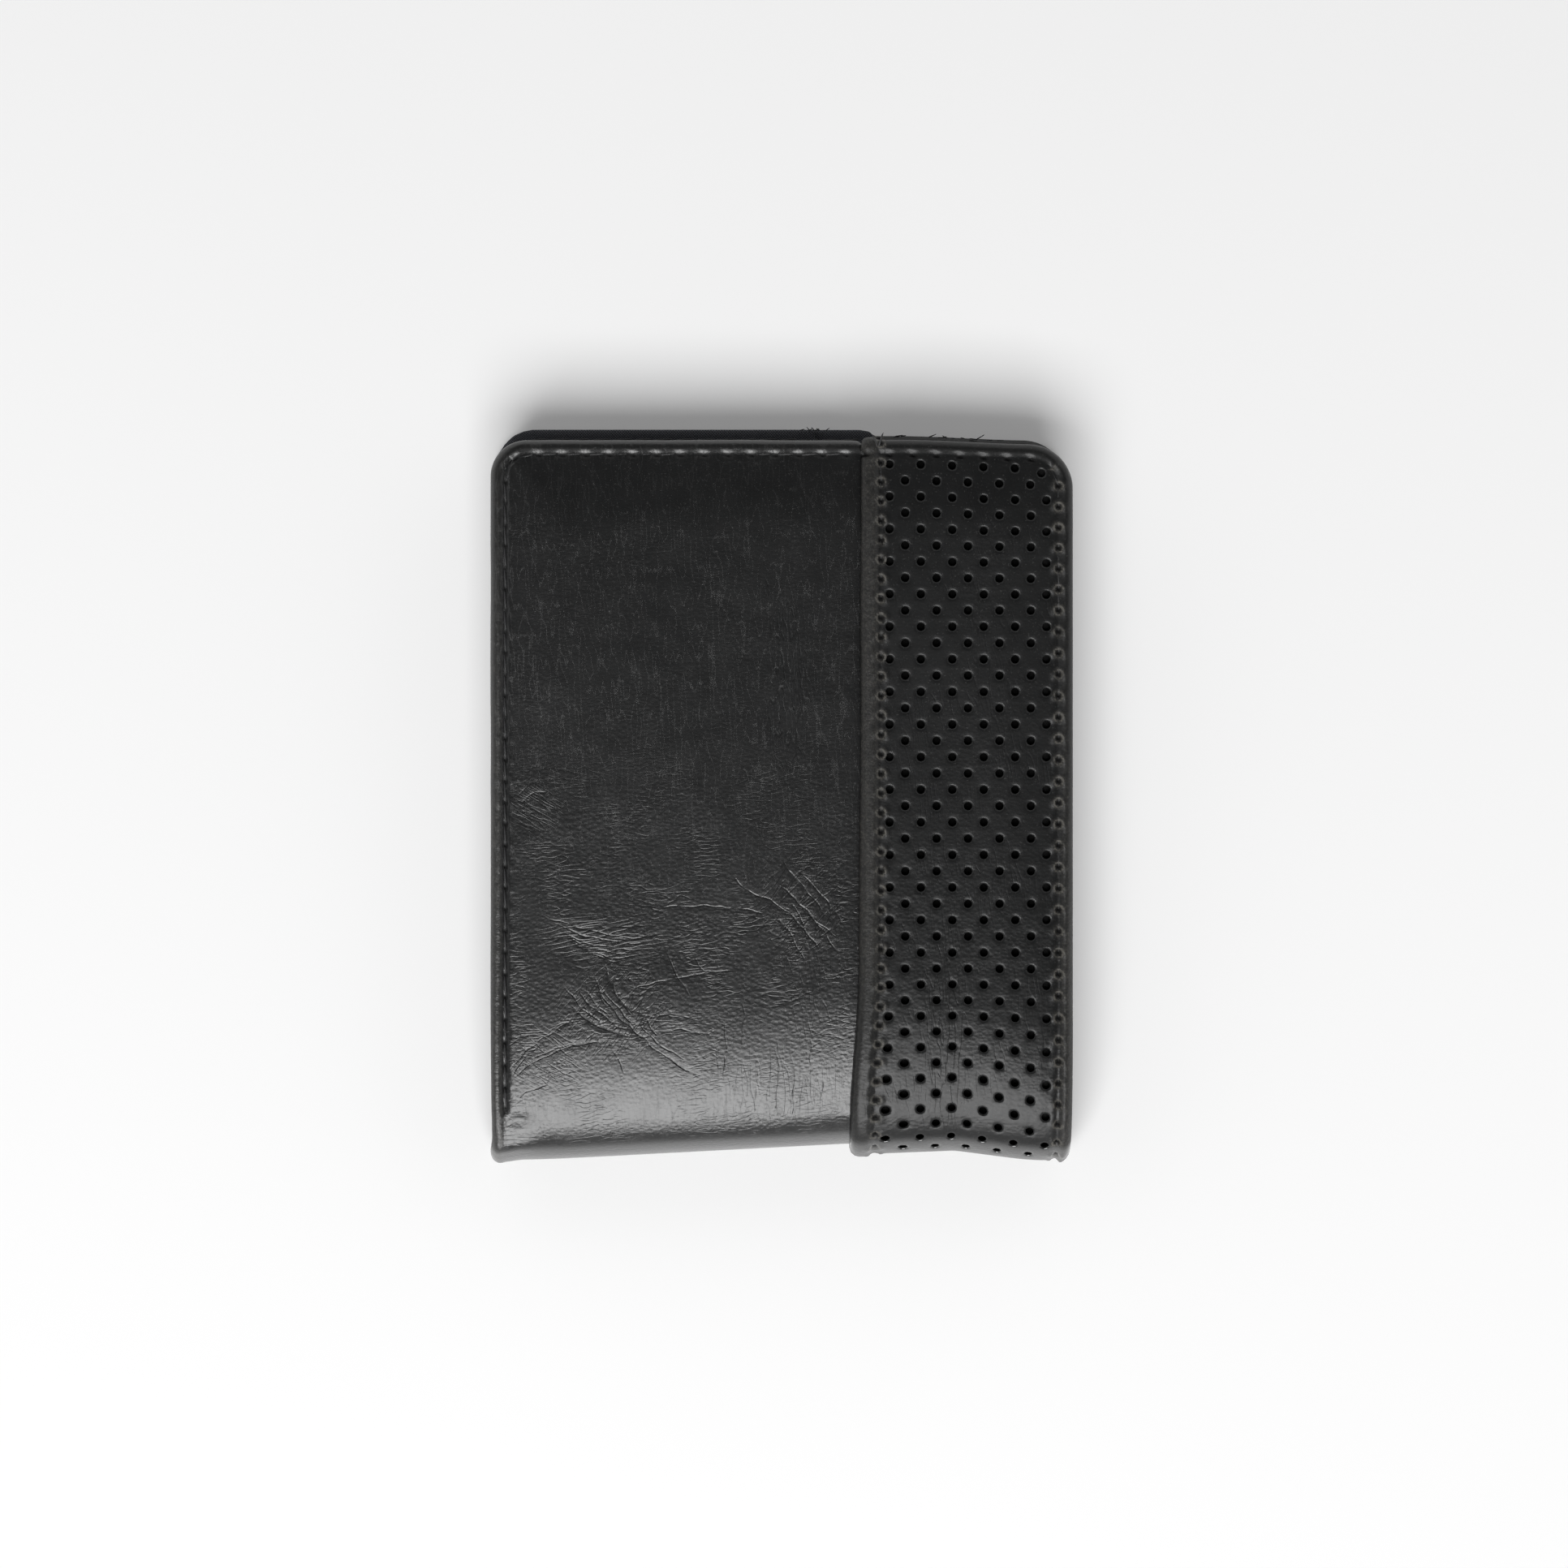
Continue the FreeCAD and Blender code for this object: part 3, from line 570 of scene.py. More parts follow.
# Creases of the front's plain leather: start, end, bow to the left of the run, and depth
FOLD_CREASES = (
    ((-42.2, -41.9), (-32.4, -35.0), 0.7, 0.07),
    ((-41.8, -43.4), (-25.6, -38.1), 1.7, 0.06),
    ((-32.7, -32.4), (-22.4, -37.4), -0.9, 0.07),
    ((-28.7, -29.6), (-11.6, -44.6), -1.3, 0.09),
    ((-31.2, -30.4), (-23.5, -36.3), -0.7, 0.06),
    ((-27.3, -26.0), (-22.4, -34.4), -0.8, 0.07),
    ((-28.6, -27.4), (-25.0, -34.9), -0.9, 0.05),
    ((-33.5, -29.5), (-27.0, -35.5), -0.6, 0.05),
    ((-21.6, -33.0), (-19.0, -37.6), -0.2, 0.05),
    ((-22.0, -35.5), (-14.5, -41.5), -0.5, 0.05),
    ((-24.2, -30.3), (-6.7, -27.5), 0.5, 0.045),
    ((-17.5, -24.4), (-13.9, -31.5), -0.4, 0.06),
    ((-13.7, -24.0), (-11.9, -27.6), -0.2, 0.05),
    ((-19.0, -36.8), (-12.0, -37.3), 0.5, 0.05),
    ((0.2, -10.1), (6.8, -18.6), -0.3, 0.07),
    ((-0.3, -14.2), (8.6, -24.8), 0.7, 0.07),
    ((-2.6, -15.8), (6.2, -24.4), 0.6, 0.06),
    ((-1.0, -18.8), (3.7, -26.3), 0.5, 0.06),
    ((1.1, -16.0), (4.1, -22.5), 0.3, 0.05),
    ((2.6, -12.0), (9.4, -20.2), 0.4, 0.05),
    ((-21.0, -17.8), (-1.4, -18.7), 0.9, 0.035),
    ((3.2, -17.8), (8.9, -22.3), -0.2, 0.05),
    ((-7.6, -12.8), (-1.1, -16.5), -0.8, 0.05),
    ((-10.4, -24.0), (-9.7, -27.2), 0.2, 0.04),
    ((-28.6, -29.1), (-20.4, -39.6), 0.4, 0.06),
    ((-27.1, -26.8), (-23.0, -34.3), -0.5, 0.06),
    ((-30.1, -30.2), (-25.2, -35.3), -0.4, 0.05),
    ((-32.4, -32.8), (-23.4, -37.3), -0.7, 0.06),
    ((-41.7, -43.0), (-36.5, -37.7), 0.6, 0.05),
    ((-38.7, -40.3), (-29.0, -38.3), 0.6, 0.05),
    ((-36.1, -36.2), (-32.4, -35.1), 0.2, 0.04),
    ((-26.4, -39.2), (-24.1, -43.3), 0.2, 0.04),
    ((-8.8, -35.0), (-9.0, -45.1), 0.3, 0.04),
    ((-10.1, -38.2), (-9.4, -46.0), -0.2, 0.03),
    ((-5.9, -31.0), (-6.3, -40.5), 0.2, 0.03),
    ((-19.6, -34.3), (-12.1, -35.3), 0.5, 0.05),
    ((-37.4, -18.6), (-19.5, -22.4), -0.9, 0.04),
    ((-35.6, -19.9), (-20.5, -23.3), -0.9, 0.05),
    ((-34.8, -20.9), (-21.0, -24.2), -1.0, 0.05),
    ((-33.6, -21.6), (-22.0, -25.0), -0.9, 0.05),
    ((-32.4, -22.6), (-23.0, -25.7), -0.8, 0.05),
    ((-31.0, -23.6), (-23.5, -26.2), -0.6, 0.04),
    ((-40.8, -0.4), (-36.9, 2.2), 0.4, 0.04),
    ((-40.9, -2.0), (-36.0, 0.4), 0.4, 0.04),
    ((-40.9, -46.6), (-35.0, -44.0), 0.5, 0.04),
    ((-0.6, -38.0), (-1.3, -52.4), 0.4, 0.03),
    ((-3.4, -42.0), (-3.9, -52.0), -0.3, 0.03),
    ((2.0, -43.5), (1.4, -52.6), 0.2, 0.03),
    ((4.4, -36.5), (3.6, -47.5), 0.5, 0.03),
    ((-6.6, -44.0), (-6.2, -51.5), 0.3, 0.025),
    ((6.8, -44.5), (6.1, -51.8), -0.2, 0.025),
    ((-2.6, 34.0), (-1.6, 21.5), 0.4, 0.03),
    ((-0.4, 32.0), (0.2, 19.5), -0.3, 0.03),
)


# Finishes

BLACK_HIDE = (0.0042, 0.0044, 0.0046)
DUSTY_HIDE = (0.0065, 0.0067, 0.0068)
WORN_HIDE = (0.0185, 0.0175, 0.0160)
WORN_SPECKLE = (0.060, 0.057, 0.050)
# Rims round the needle holes: partly wear, partly painted highlight
RIM_WEAR_AND_HIGHLIGHT = (0.095, 0.090, 0.080)
DUST = (0.06, 0.06, 0.058)
# Painted shade in the holes and needle holes
HOLE_PAINTED_SHADE = (0.001, 0.001, 0.001)
# Roughness and specular level by kind of leather
LEATHER_KINDS = {"plain": (0.26, 0.8), "band": (0.34, 0.42), "inner": (0.30, 0.5)}

# Groups of fine creases: middle and size of the patch, direction in degrees, length, pitch, width, depth
CREASE_CLUSTERS = (
    ((-1, 101), (15, 10), 87, 9, 1.3, 0.030, 0.014),
    ((5, 84), (9, 22), 84, 9, 1.3, 0.030, 0.012),
    ((1, 38), (4.5, 22), 88, 5, 0.8, 0.050, 0.032),
    ((-28, 77), (13, 5), -8, 5, 0.7, 0.080, 0.026),
    ((-26, 88), (11, 10), -55, 4, 0.9, 0.045, 0.036),
    ((-36, 95), (8, 7), 30, 5, 0.9, 0.040, 0.024),
    ((3, 72), (9, 11), -52, 5, 0.9, 0.045, 0.036),
    ((-38, 57), (6, 5), 30, 4, 0.7, 0.060, 0.020),
)


def leather_grain(g, place):
    """Height of the fine grain, in millimetres."""
    pores = g.noise(place, 0.30, 3, 0.6)
    pebble = g.node("ShaderNodeTexVoronoi", {"feature": "SMOOTH_F1"}, {
        "Vector": g.turned(place, size=(1.35, 1)), "Scale": 1 / 0.52, "Smoothness": 0.5}, "Distance")
    used = g.step(g.axis(place, "Y"), 0.020, -0.035)
    return pores * 0.011 + pebble * (g.patches(place, 14, 3, 0.42, 0.62) * 0.010 + used * 0.022 + 0.008)


def sharp_creases(g):
    """Depth of the creases that the mesh carries, from each set's distance and depth."""
    lines = 0.0
    for k in range(CREASE_SETS):
        lines = lines + g.step(abs(g.value(f"crease_off_{k}")), 0.20, 0.0) * g.value(f"crease_depth_{k}")
    return lines


def plain_creases(g, cut):
    """Depth of all the fine creases across the plain leather, in millimetres."""
    low = g.step(g.axis(cut, "Y"), 0.035, 0.085)
    across = g.creases(cut, -4, 2.6, 0.75, 0.07, 1) * g.patches(cut, 8, 2, 0.42, 0.60)
    along = g.creases(cut, 87, 4.5, 0.95, 0.05, 2) * g.patches(g.turned(cut, (70, 20)), 9, 2, 0.46, 0.60)
    total = across * (low * 0.012 + 0.004) + along * (0.004 - low * 0.002)
    for seed, (at, size, degrees, length, pitch, width, depth) in enumerate(CREASE_CLUSTERS, 3):
        total = total + g.creases(cut, degrees, length, pitch, width, seed) * g.spot(cut, at, size) * depth
    return total + sharp_creases(g) * g.step(g.noise(cut, 1.8, 1), 0.38, 0.60, (0.12, 0.95))


def band_creases(g, cut):
    broad = g.creases(cut, 84, 6, 1.1, 0.05, 9) * g.patches(cut, 9, 2, 0.45, 0.6) * 0.014
    return broad + g.creases(cut, 86, 7, 1.0, 0.04, 10) * g.spot(cut, (25.5, 90), (5, 26)) * 0.030


def inner_creases(g, place):
    return g.creases(place, 30, 3, 1.6, 0.05, 12) * g.patches(place, 12, 2, 0.5, 0.66) * 0.010


def leather_colour(g, place, wear_and_highlight_mask, mottle):
    """Black hide with dust in it, browner and paler where it is worn, paler also as painted highlight on the band's
    side border and needle rims, and black as painted shade in the holes and needle holes.
    """
    colour = g.blend_colour(g.noise(place, 9, 3), BLACK_HIDE, DUSTY_HIDE)
    colour = g.blend_colour(wear_and_highlight_mask, colour, WORN_HIDE)
    speckle = g.step(g.noise(place, 0.32, 2, 0.7), 0.48, 0.64) * wear_and_highlight_mask
    colour = g.blend_colour(speckle * 0.6, colour, WORN_SPECKLE)
    colour = g.blend_colour(g.patches(place, 0.26, 0, 0.73, 0.80) * 0.4, colour, DUST)
    # Needle rims, where the wear-and-highlight value passes 1, are painted paler: partly wear, partly painted
    # highlight.
    rim = g.step(g.value("wear_and_highlight"), 1.0, 1.5) * g.step(mottle, 0.36, 0.60)
    colour = g.blend_colour(rim, colour, RIM_WEAR_AND_HIGHLIGHT)
    # Painted shade: black in the holes and needle holes.
    return g.blend_colour(g.value("painted_hole_shade"), colour, HOLE_PAINTED_SHADE)


def leather(name, kind):
    """Black coated leather with grain, creases, worn brown on its turned edges, painted highlight on the band's side
    border and needle rims, and painted shade in the holes and needle holes.
    """
    g = new_material(name)
    place = g.object_place()
    roughness, gloss = LEATHER_KINDS[kind]
    mottle = g.noise(place, 1.1, 4, 0.65)
    wear_and_highlight_mask = g.value("wear_and_highlight") * g.step(mottle, 0.28, 0.72, (0.35, 1.0))
    # Painted shade: 1 in the holes and needle holes; it also roughens the leather there and makes it metallic, so the
    # holes show black.
    painted_hole_shade = g.value("painted_hole_shade")
    if kind == "inner":
        creases = inner_creases(g, place)
    else:
        creases = (plain_creases if kind == "plain" else band_creases)(g, g.cut_place())
    height = leather_grain(g, place) - creases + g.noise(place, 0.7, 4, 0.7) * wear_and_highlight_mask * 0.07
    return g.finish({"Base Color": leather_colour(g, place, wear_and_highlight_mask, mottle),
                     "Roughness": g.noise(place, 3.5, 4) * 0.10 + wear_and_highlight_mask * 0.18 + painted_hole_shade * 0.5 + roughness,
                     "Specular IOR Level": gloss, "Metallic": painted_hole_shade * 0.9,
                     "Coat Weight": g.value("polish"), "Coat Roughness": 0.2, "Coat IOR": 1.9}, height)


def nylon_finish(name):
    """Plain-woven nylon: two sets of threads that pass over each other."""
    g = new_material(name)
    place = g.object_place()
    turn = 2 * pi / (0.42 * MM)
    warp = (g.axis(place, "X") * turn).sine()
    weft = (g.axis(place, "Y") * turn + g.axis(place, "Z") * turn).sine()
    weave = warp * weft
    fuzz = g.noise(place, 0.2, 2)
    colour = g.blend_colour(g.step(weave + fuzz * 0.6, -0.4, 0.9), (0.0105, 0.011, 0.014), (0.065, 0.068, 0.082))
    return g.finish({"Base Color": colour, "Roughness": fuzz * 0.2 + 0.45, "Sheen Weight": 0.08},
                    weave * 0.035 + fuzz * 0.02)


def fibre_finish(name, size, detail, share, colours, roughness, height):
    """A finish that one fine noise colours, roughens and raises."""
    g = new_material(name)
    fibre = g.noise(g.object_place(), size, detail, share)
    return g.finish({"Base Color": g.blend_colour(fibre, *colours), "Roughness": fibre * 0.2 + roughness},
                    fibre * height)


def window_finish(name):
    """Clear soft vinyl, slightly wavy and scuffed."""
    g = new_material(name)
    place = g.object_place()
    scuff = g.step(g.noise(place, 1.4, 5, 0.7), 0.45, 0.75)
    return g.finish({"Base Color": (0.62, 0.64, 0.66, 1), "Roughness": scuff * 0.25 + 0.08,
                     "Alpha": scuff * 0.10 + 0.22}, g.noise(place, 9, 2) * 0.25)


FINISH = {
    "leather": leather("black_leather", "plain"),
    "band_leather": leather("band_black_leather", "band"),
    "nylon": nylon_finish("navy_black_nylon"),
    "thread": fibre_finish("black_thread", 0.16, 2, 0.6, ((0.010, 0.010, 0.011), (0.045, 0.045, 0.046)), 0.4, 0.04),
    "board": fibre_finish("grey_board", 0.6, 5, 0.7, ((0.16, 0.15, 0.14), (0.27, 0.26, 0.24)), 0.7, 0.05),
    "clear_window": window_finish("clear_vinyl"),
    "lining_leather": leather("inner_black_leather", "inner"),
}


# Outer leather: what both skins share

MAIN_HEM = 4.5
MAIN_RIGHT = TOP_X - 2.5
MAIN_WALL = 0.8


def from_hole(along, pitch):
    """Distance along a seam from the nearest needle hole."""
    return ((along / pitch + 0.5) % 1 - 0.5) * pitch


def seam_height(distance, along, pitch, groove, pit, long=0.5, swell=0.10, wide=0.42):
    """Height across a seam's groove, with a pit and a swollen rim at each needle hole."""
    away = from_hole(along, pitch)
    rim = swell * bell((np.abs(distance) - 0.75) / 0.4) * np.cos(pi * away / pitch) ** 4
    return -groove * bell(distance / wide) - pit * bell(distance / 0.42, away / long) + rim


def needle_pit_shade(distance, along, pitch, at=(0.0, 0.0), long=0.35):
    """1 where each needle hole is painted dark as shade, 0 away from it."""
    return bell((distance - at[0]) / 0.3, (from_hole(along, pitch) - at[1]) / long)


def needle_rim_wear_and_highlight(distance, along, pitch):
    """1 on the rim round each needle hole, which is painted paler: partly wear, partly painted highlight on the
    bulged leather there.
    """
    return bell((np.hypot(distance, from_hole(along, pitch)) - 0.68) / 0.30)


def edge_pit_shade(at_side, off, s, across):
    """Painted shade in an edge seam's needle holes, along the sides and along the free edge."""
    return np.where(at_side, needle_pit_shade(off, s, SIDE_STITCH), needle_pit_shade(off, across, TOP_STITCH, (0.30, 0.3), 0.7))


def border_height(inset, u, v):
    """The raised round border outside the edge seam, and the soft rise inside it."""
    ridge = 0.16 * bell((inset - 1.25) / 0.65)
    rise = 0.16 * (1 - fade(inset - EDGE_SEAM, 1.8))
    side_leg = smooth(0.5 + (v - u) / (4 + np.minimum(u, v)))
    return (ridge + np.where(inset > EDGE_SEAM, rise, 0)) * (0.45 + 0.55 * side_leg)


def border_wear(border):
    """1 on the turned edge outside the edge seam."""
    return smooth((EDGE_SEAM - 0.25 - border) / 0.5)


def fold_polish(side, s):
    """1 where the fold's outer face is rubbed smooth, 0 on the flat."""
    line_s, _, _, line_tilt = profile(side)
    tilt = np.degrees(np.interp(s, line_s, line_tilt))
    return smooth((tilt - 38) / 14) * (1 - 0.5 * smooth((tilt - 62) / 14))


def towards_split(side, s):
    """1 over most of a half's leather, falling to 0 where it meets the other half's."""
    return smooth((split_s(side) - s) / 4)


def raise_skin(bm, height, side, row):
    """Lifts a skin along its normals; the back stays on what it lies on, and the split stays crisp."""
    points = raised(bm, height)
    if side == "back":
        points[:, 2] = np.maximum(points[:, 2], 0.02)
    put(bm, points)
    bm.verts.index_update()
    for edge in bm.edges:
        if all(row[vert.index] == row.max() for vert in edge.verts):
            edge.smooth = False


# Outer leather: main panels

def crease_place(x, y, ends, bow):
    """Place along a bowed crease, -1 to 1, and distance from it."""
    (x0, y0), (x1, y1) = ends
    half = np.hypot(x1 - x0, y1 - y0) / 2
    turn = np.arctan2(y1 - y0, x1 - x0)
    px, py = x - (x0 + x1) / 2, y - (y0 + y1) / 2
    along = (px * cos(turn) + py * sin(turn)) / half
    off = -px * sin(turn) + py * cos(turn) - bow * (1 - along ** 2)
    return along, off


def crease_valleys(x, s, side):
    """The soft valleys that the front's creases lie in, and the sharp lines' own values.

    Neighbouring creases go to different sets; a set holds, at each vertex, the distance from
    its strongest crease there and that crease's depth.
    """
    if side == "back":
        return 0.04 * rumple(x, s * 1.6, 3.2, 31) * smooth((s - 60) / 20), {}
    wave = 0.45 * rumple(x, s, 2.2, 14)
    total = np.zeros(len(x))
    offs = np.full((CREASE_SETS, len(x)), 3.0)
    depths = np.zeros((CREASE_SETS, len(x)))
    for n, (*ends, bow, deepest) in enumerate(FOLD_CREASES):
        along, off = crease_place(x, END[side] - s, ends, bow)
        off = off + wave
        depth = deepest * smooth((1 - np.abs(along)) / 0.4)
        total += depth * (0.15 * bell((np.abs(off) - 0.9) / 0.45) - 0.3 * bell(off / 0.4))
        depth = depth * smooth((1.5 - np.abs(off)) / 0.5)
        k = n % CREASE_SETS
        here = depth > depths[k]
        offs[k][here] = off[here]
        depths[k][here] = depth[here]
    values = {f"crease_off_{k}": off for k, off in enumerate(offs)}
    return total, values | {f"crease_depth_{k}": depth for k, depth in enumerate(depths)}


def main_lines(side):
    """Distances round the turned edges, for the panel's columns and rows."""
    unroll = unrolled(LEATHER_T)
    end_s = split_s(side)
    edge = turned_runs(LEATHER_T, 5.0, MAIN_HEM)
    columns = runs(*edge, (BAND_X - BOTTOM_X + unroll + 0.6, 0.47), (MAIN_RIGHT - BOTTOM_X + unroll, 2.2))
    rows = runs(*edge, (44, 0.75), (end_s - 16 + unroll, 0.36), (end_s + unroll, 0.42))
    return columns, rows


def under_band(x):
    """How much further from the free edge the panel stays where the band covers it."""
    under = CORNER_TOP - BAND_T
    past = np.clip(x - (TOP_X - CORNER_TOP), 0, under - 0.5)
    return BAND_T * smooth((x - BAND_X + 1) / 1.5) + under - np.sqrt(under ** 2 - past ** 2)


def main_seams(side, x, s, border, at_side):
    """Height of the edge seam: deep along the side, shallow along the free edge."""
    off = border - EDGE_SEAM
    low = smooth((s - 72) / 22)
    along_side = seam_height(off + 0.15 * low, s, SIDE_STITCH, 0.26 + 0.10 * low, 0.34, wide=0.42 + 0.35 * low)
    along_end = seam_height(off, x - BOTTOM_X, TOP_STITCH, 0.05, 0.22, 0.60, 0.05)
    return np.where(at_side, along_side * smooth((END[side] - INNER_Y - s) / 1.5), along_end)


def front_marks(x, s, border):
    """The front's ridge along the crest, its raised tip, and the dent beside the seam's last stitch."""
    crest = (profile("front")[3] < CREST_TILT).sum() * PROFILE_STEP
    tip = 0.40 * smooth((-36 - x) / 6) * smooth(border / 1.2) * bell((s - crest - 1.6) / 1.4)
    ridge = 0.16 * smooth((x + 3) / 12) * bell((s - crest + 1.5) / 1.5)
    return tip + ridge - 0.40 * bell((x + 40.8) / 2.6, (s - (END["front"] - INNER_Y) - 0.7) / 1.2)


def main_panel(side):
    """Plain leather of one half with its turned and stitched border, down to the split."""
    columns, rows = main_lines(side)
    bm, i, j = grid(len(columns), len(rows))
    u, v = columns[i], rows[j]
    inset_x, s, depth = turned_corner(u, v, LEATHER_T, CORNER_BOTTOM)
    x = BOTTOM_X + inset_x
    s = s + under_band(x) * np.clip(1 - s / 14, 0, 1)
    flare = 0.4 * smooth((-38 - x) / 5) * smooth((s - split_s(side) + 9) / 5)
    put(bm, on_skin(side, x - flare, s, depth + BAND_T, PLAIN_FOLD))
    face_towards(bm, nearest(x, s - 40, depth * 50), (0, 0, OUT[side]))

    border = np.minimum(np.minimum(u, v) - unrolled(LEATHER_T), 60)
    at_side = u <= v
    height = border_height(border, u, v) + main_seams(side, x, s, border, at_side)
    if side == "front":
        height += front_marks(x, s, border)
    valleys, lines = crease_valleys(x, s, side)
    waves = 0.10 * rumple(x, s, 21, 1 if side == "front" else 5)
    waves += 0.035 * rumple(x, s, 5.5, 2 if side == "front" else 6)
    height += (waves + valleys * smooth((border - 2.6) / 1.2)) * towards_split(side, s)
    height -= 0.35 * fade(BAND_X - x, 0.8)
    face = (np.minimum(u, v) > -0.3 * pi * LEATHER_T) & (x < BAND_X + 0.5)
    raise_skin(bm, np.where(face, height, 0), side, j)

    # Along the side, the worn border gets paler towards the fold.
    wear_and_highlight = border_wear(border) * (x < BAND_X) * np.where(at_side, 0.35 + 0.5 * smooth(s / 70), 0.12)
    # Painted shade: black in the edge seam's needle holes, and under the band, which shows only through its holes; a
    # little less black in the first and last hole columns, where the holes are shallower.
    painted_pit_shade = edge_pit_shade(at_side, border - EDGE_SEAM, s, x - BOTTOM_X) * ((s < END[side] - INNER_Y) | ~at_side)
    shallow = bell((x - FIRST_HOLE_X) / 0.9) + bell((x - LAST_HOLE_X) / 0.9)
    painted_hole_shade = np.maximum(smooth(x - BAND_X - 1) * (1 - 0.3 * shallow), painted_pit_shade)
    values = {"wear_and_highlight": wear_and_highlight, "painted_hole_shade": painted_hole_shade, "polish": fold_polish(side, s) * (1 - painted_hole_shade), **lines}
    obj = piece(f"main_leather_{side}", bm, "leather", values, np.stack([x, s], axis=1))
    thicken(obj, MAIN_WALL)
    through_fold(obj, side, nodes_of("main_panel", side))


# Outer leather: the perforated band

BAND_EDGE_ROLL = 1.2    # half the thickness of the band wrapped round the main panel
BAND_FOLD_ROLL = 0.59   # half the thickness of the band's folded inner edge
BAND_FOLD_REACH = 6     # how far the folded inner edge decides a vertex's place
BAND_HEM = 4
BAND_WALL = 0.5


def band_lines(side):
    """Flat x of the columns, flat s of the rows, and the column and row of each hole's middle."""
    unroll, fold_unroll = unrolled(BAND_EDGE_ROLL), unrolled(BAND_FOLD_ROLL)
    half, fold_half = BAND_EDGE_ROLL * pi / 2, BAND_FOLD_ROLL * pi / 2
    end_s = split_s(side)
    cells = int((end_s - FIRST_CELL_S - 0.6) / HOLE_PITCH_Y)
    last_x = FIRST_CELL_X + HOLE_COLUMNS * HOLE_PITCH_X
    last_s = FIRST_CELL_S + cells * HOLE_PITCH_Y
    inner = BAND_X - fold_unroll + runs(-fold_half - 1.4, (-fold_half, 0.8), (fold_half, 0.3),
                                        (FIRST_CELL_X - BAND_X + fold_unroll, 0.3))[:-1]
    outer = TOP_X + unroll - runs(TOP_X - last_x + unroll, (half, 0.3), (-half, 0.32), (-half - BAND_HEM, 1.3))[1:]
    edge = runs(*turned_runs(BAND_EDGE_ROLL, FIRST_CELL_S + unroll, BAND_HEM))[:-1] - unroll
    columns = np.concatenate([inner, np.linspace(FIRST_CELL_X, last_x, HOLE_COLUMNS * CELL + 1), outer])
    rows = np.concatenate([edge, np.linspace(FIRST_CELL_S, last_s, cells * CELL + 1),
                           runs(last_s, (end_s, 0.4))[1:]])
    b, a = np.nonzero(np.indices((cells, HOLE_COLUMNS)).sum(axis=0) % 2 == 0)
    return columns, rows, (len(inner) + a * CELL + CELL // 2, len(edge) + b * CELL + CELL // 2)


def around(index, middles, reach):
    """Each step from the holes' middles, with the vertices that lie that step away."""
    for di in range(-reach, reach + 1):
        for dj in range(-reach, reach + 1):
            yield di, dj, index[middles[0] + di, middles[1] + dj]


def square_to_circle(di, dj):
    """Direction on a circle that belongs to a place on a square ring."""
    if abs(di) >= abs(dj):
        angle = pi / 4 * dj / abs(di)
        return pi - angle if di < 0 else angle
    angle = pi / 2 - pi / 4 * di / abs(dj)
    return -angle if dj < 0 else angle


def round_holes(x, s, index, middles):
    """Moves the grid round each hole so that one ring of its vertices is a true circle."""
    x, s = x.copy(), s.copy()
    middle_x, middle_s = x[index[middles]], s[index[middles]]
    for di, dj, at in around(index, middles, 3):
        ring = max(abs(di), abs(dj))
        if ring > 1:
            angle = square_to_circle(di, dj)
            size, keep = (HOLE_RADIUS, 0.0) if ring == 2 else (0.90, 0.35)
            x[at] = keep * x[at] + (1 - keep) * (middle_x + size * cos(angle))
            s[at] = keep * s[at] + (1 - keep) * (middle_s + size * sin(angle))
    return x, s


def band_height(side, x, s, u, v, border):
    """Height of the band's folded inner edge, its border, its seams and its waves."""
    off = border - EDGE_SEAM
    at_side = u <= v
    height = 0.42 * smooth((BAND_X + 2.35 - x) / 0.9) * (1 - 0.35 * smooth((x - BAND_X - 1.2) / 1.2))
    height += border_height(border, u, v) * (1 + 1.6 * at_side * smooth((s - 50) / 30))
    height += np.where(at_side, seam_height(off, s, SIDE_STITCH, 0.12, 0.50, swell=0.20),
                       seam_height(off, x - BAND_X, TOP_STITCH, 0.05, 0.34, 0.60, 0.05))
    inner_seam_height = seam_height(x - BAND_SEAM_X, s - BAND_SEAM_START, BAND_STITCH, 0.12, 0.50, swell=0.20)
    height += inner_seam_height * smooth((s - 1.6) / 0.6)
    waves = 0.10 * rumple(x, s, 17, 3 if side == "front" else 8)
    waves += 0.05 * rumple(x * 1.6, s, 4.2, 4 if side == "front" else 9) * smooth((s - 40) / 40)
    return height + waves * towards_split(side, s)


def band_values(side, x, s, border, at_side):
    """Wear with painted highlight on the side's border and needle rims, painted shade in the needle holes, and polish
    over the band.
    """
    off = border - EDGE_SEAM
    seam = (x - BAND_SEAM_X, s - BAND_SEAM_START, BAND_STITCH)
    # Along the side, the border gets paler towards the fold: partly wear, partly painted highlight.
    wear_and_highlight = border_wear(border) * np.where(at_side, 0.15 + 0.85 * smooth((s - 20) / 75), 0.1)
    inner_wear = 0.9 * smooth((BAND_SEAM_X - 0.35 - x) / 0.4) * (1 - 0.6 * smooth((s - 78) / 14))
    # The needle rims are painted paler: partly wear, partly painted highlight.
    rim_wear_and_highlight = needle_rim_wear_and_highlight(*seam) + needle_rim_wear_and_highlight(off, s, SIDE_STITCH) * at_side
    # Painted shade: black in the needle holes.
    painted_pit_shade = np.maximum(edge_pit_shade(at_side, off, s, x - BAND_X), needle_pit_shade(*seam))
    return {"wear_and_highlight": np.maximum(np.maximum(wear_and_highlight, inner_wear), 1.7 * rim_wear_and_highlight), "painted_hole_shade": painted_pit_shade,
            "polish": fold_polish(side, s) * (1 - painted_pit_shade)}


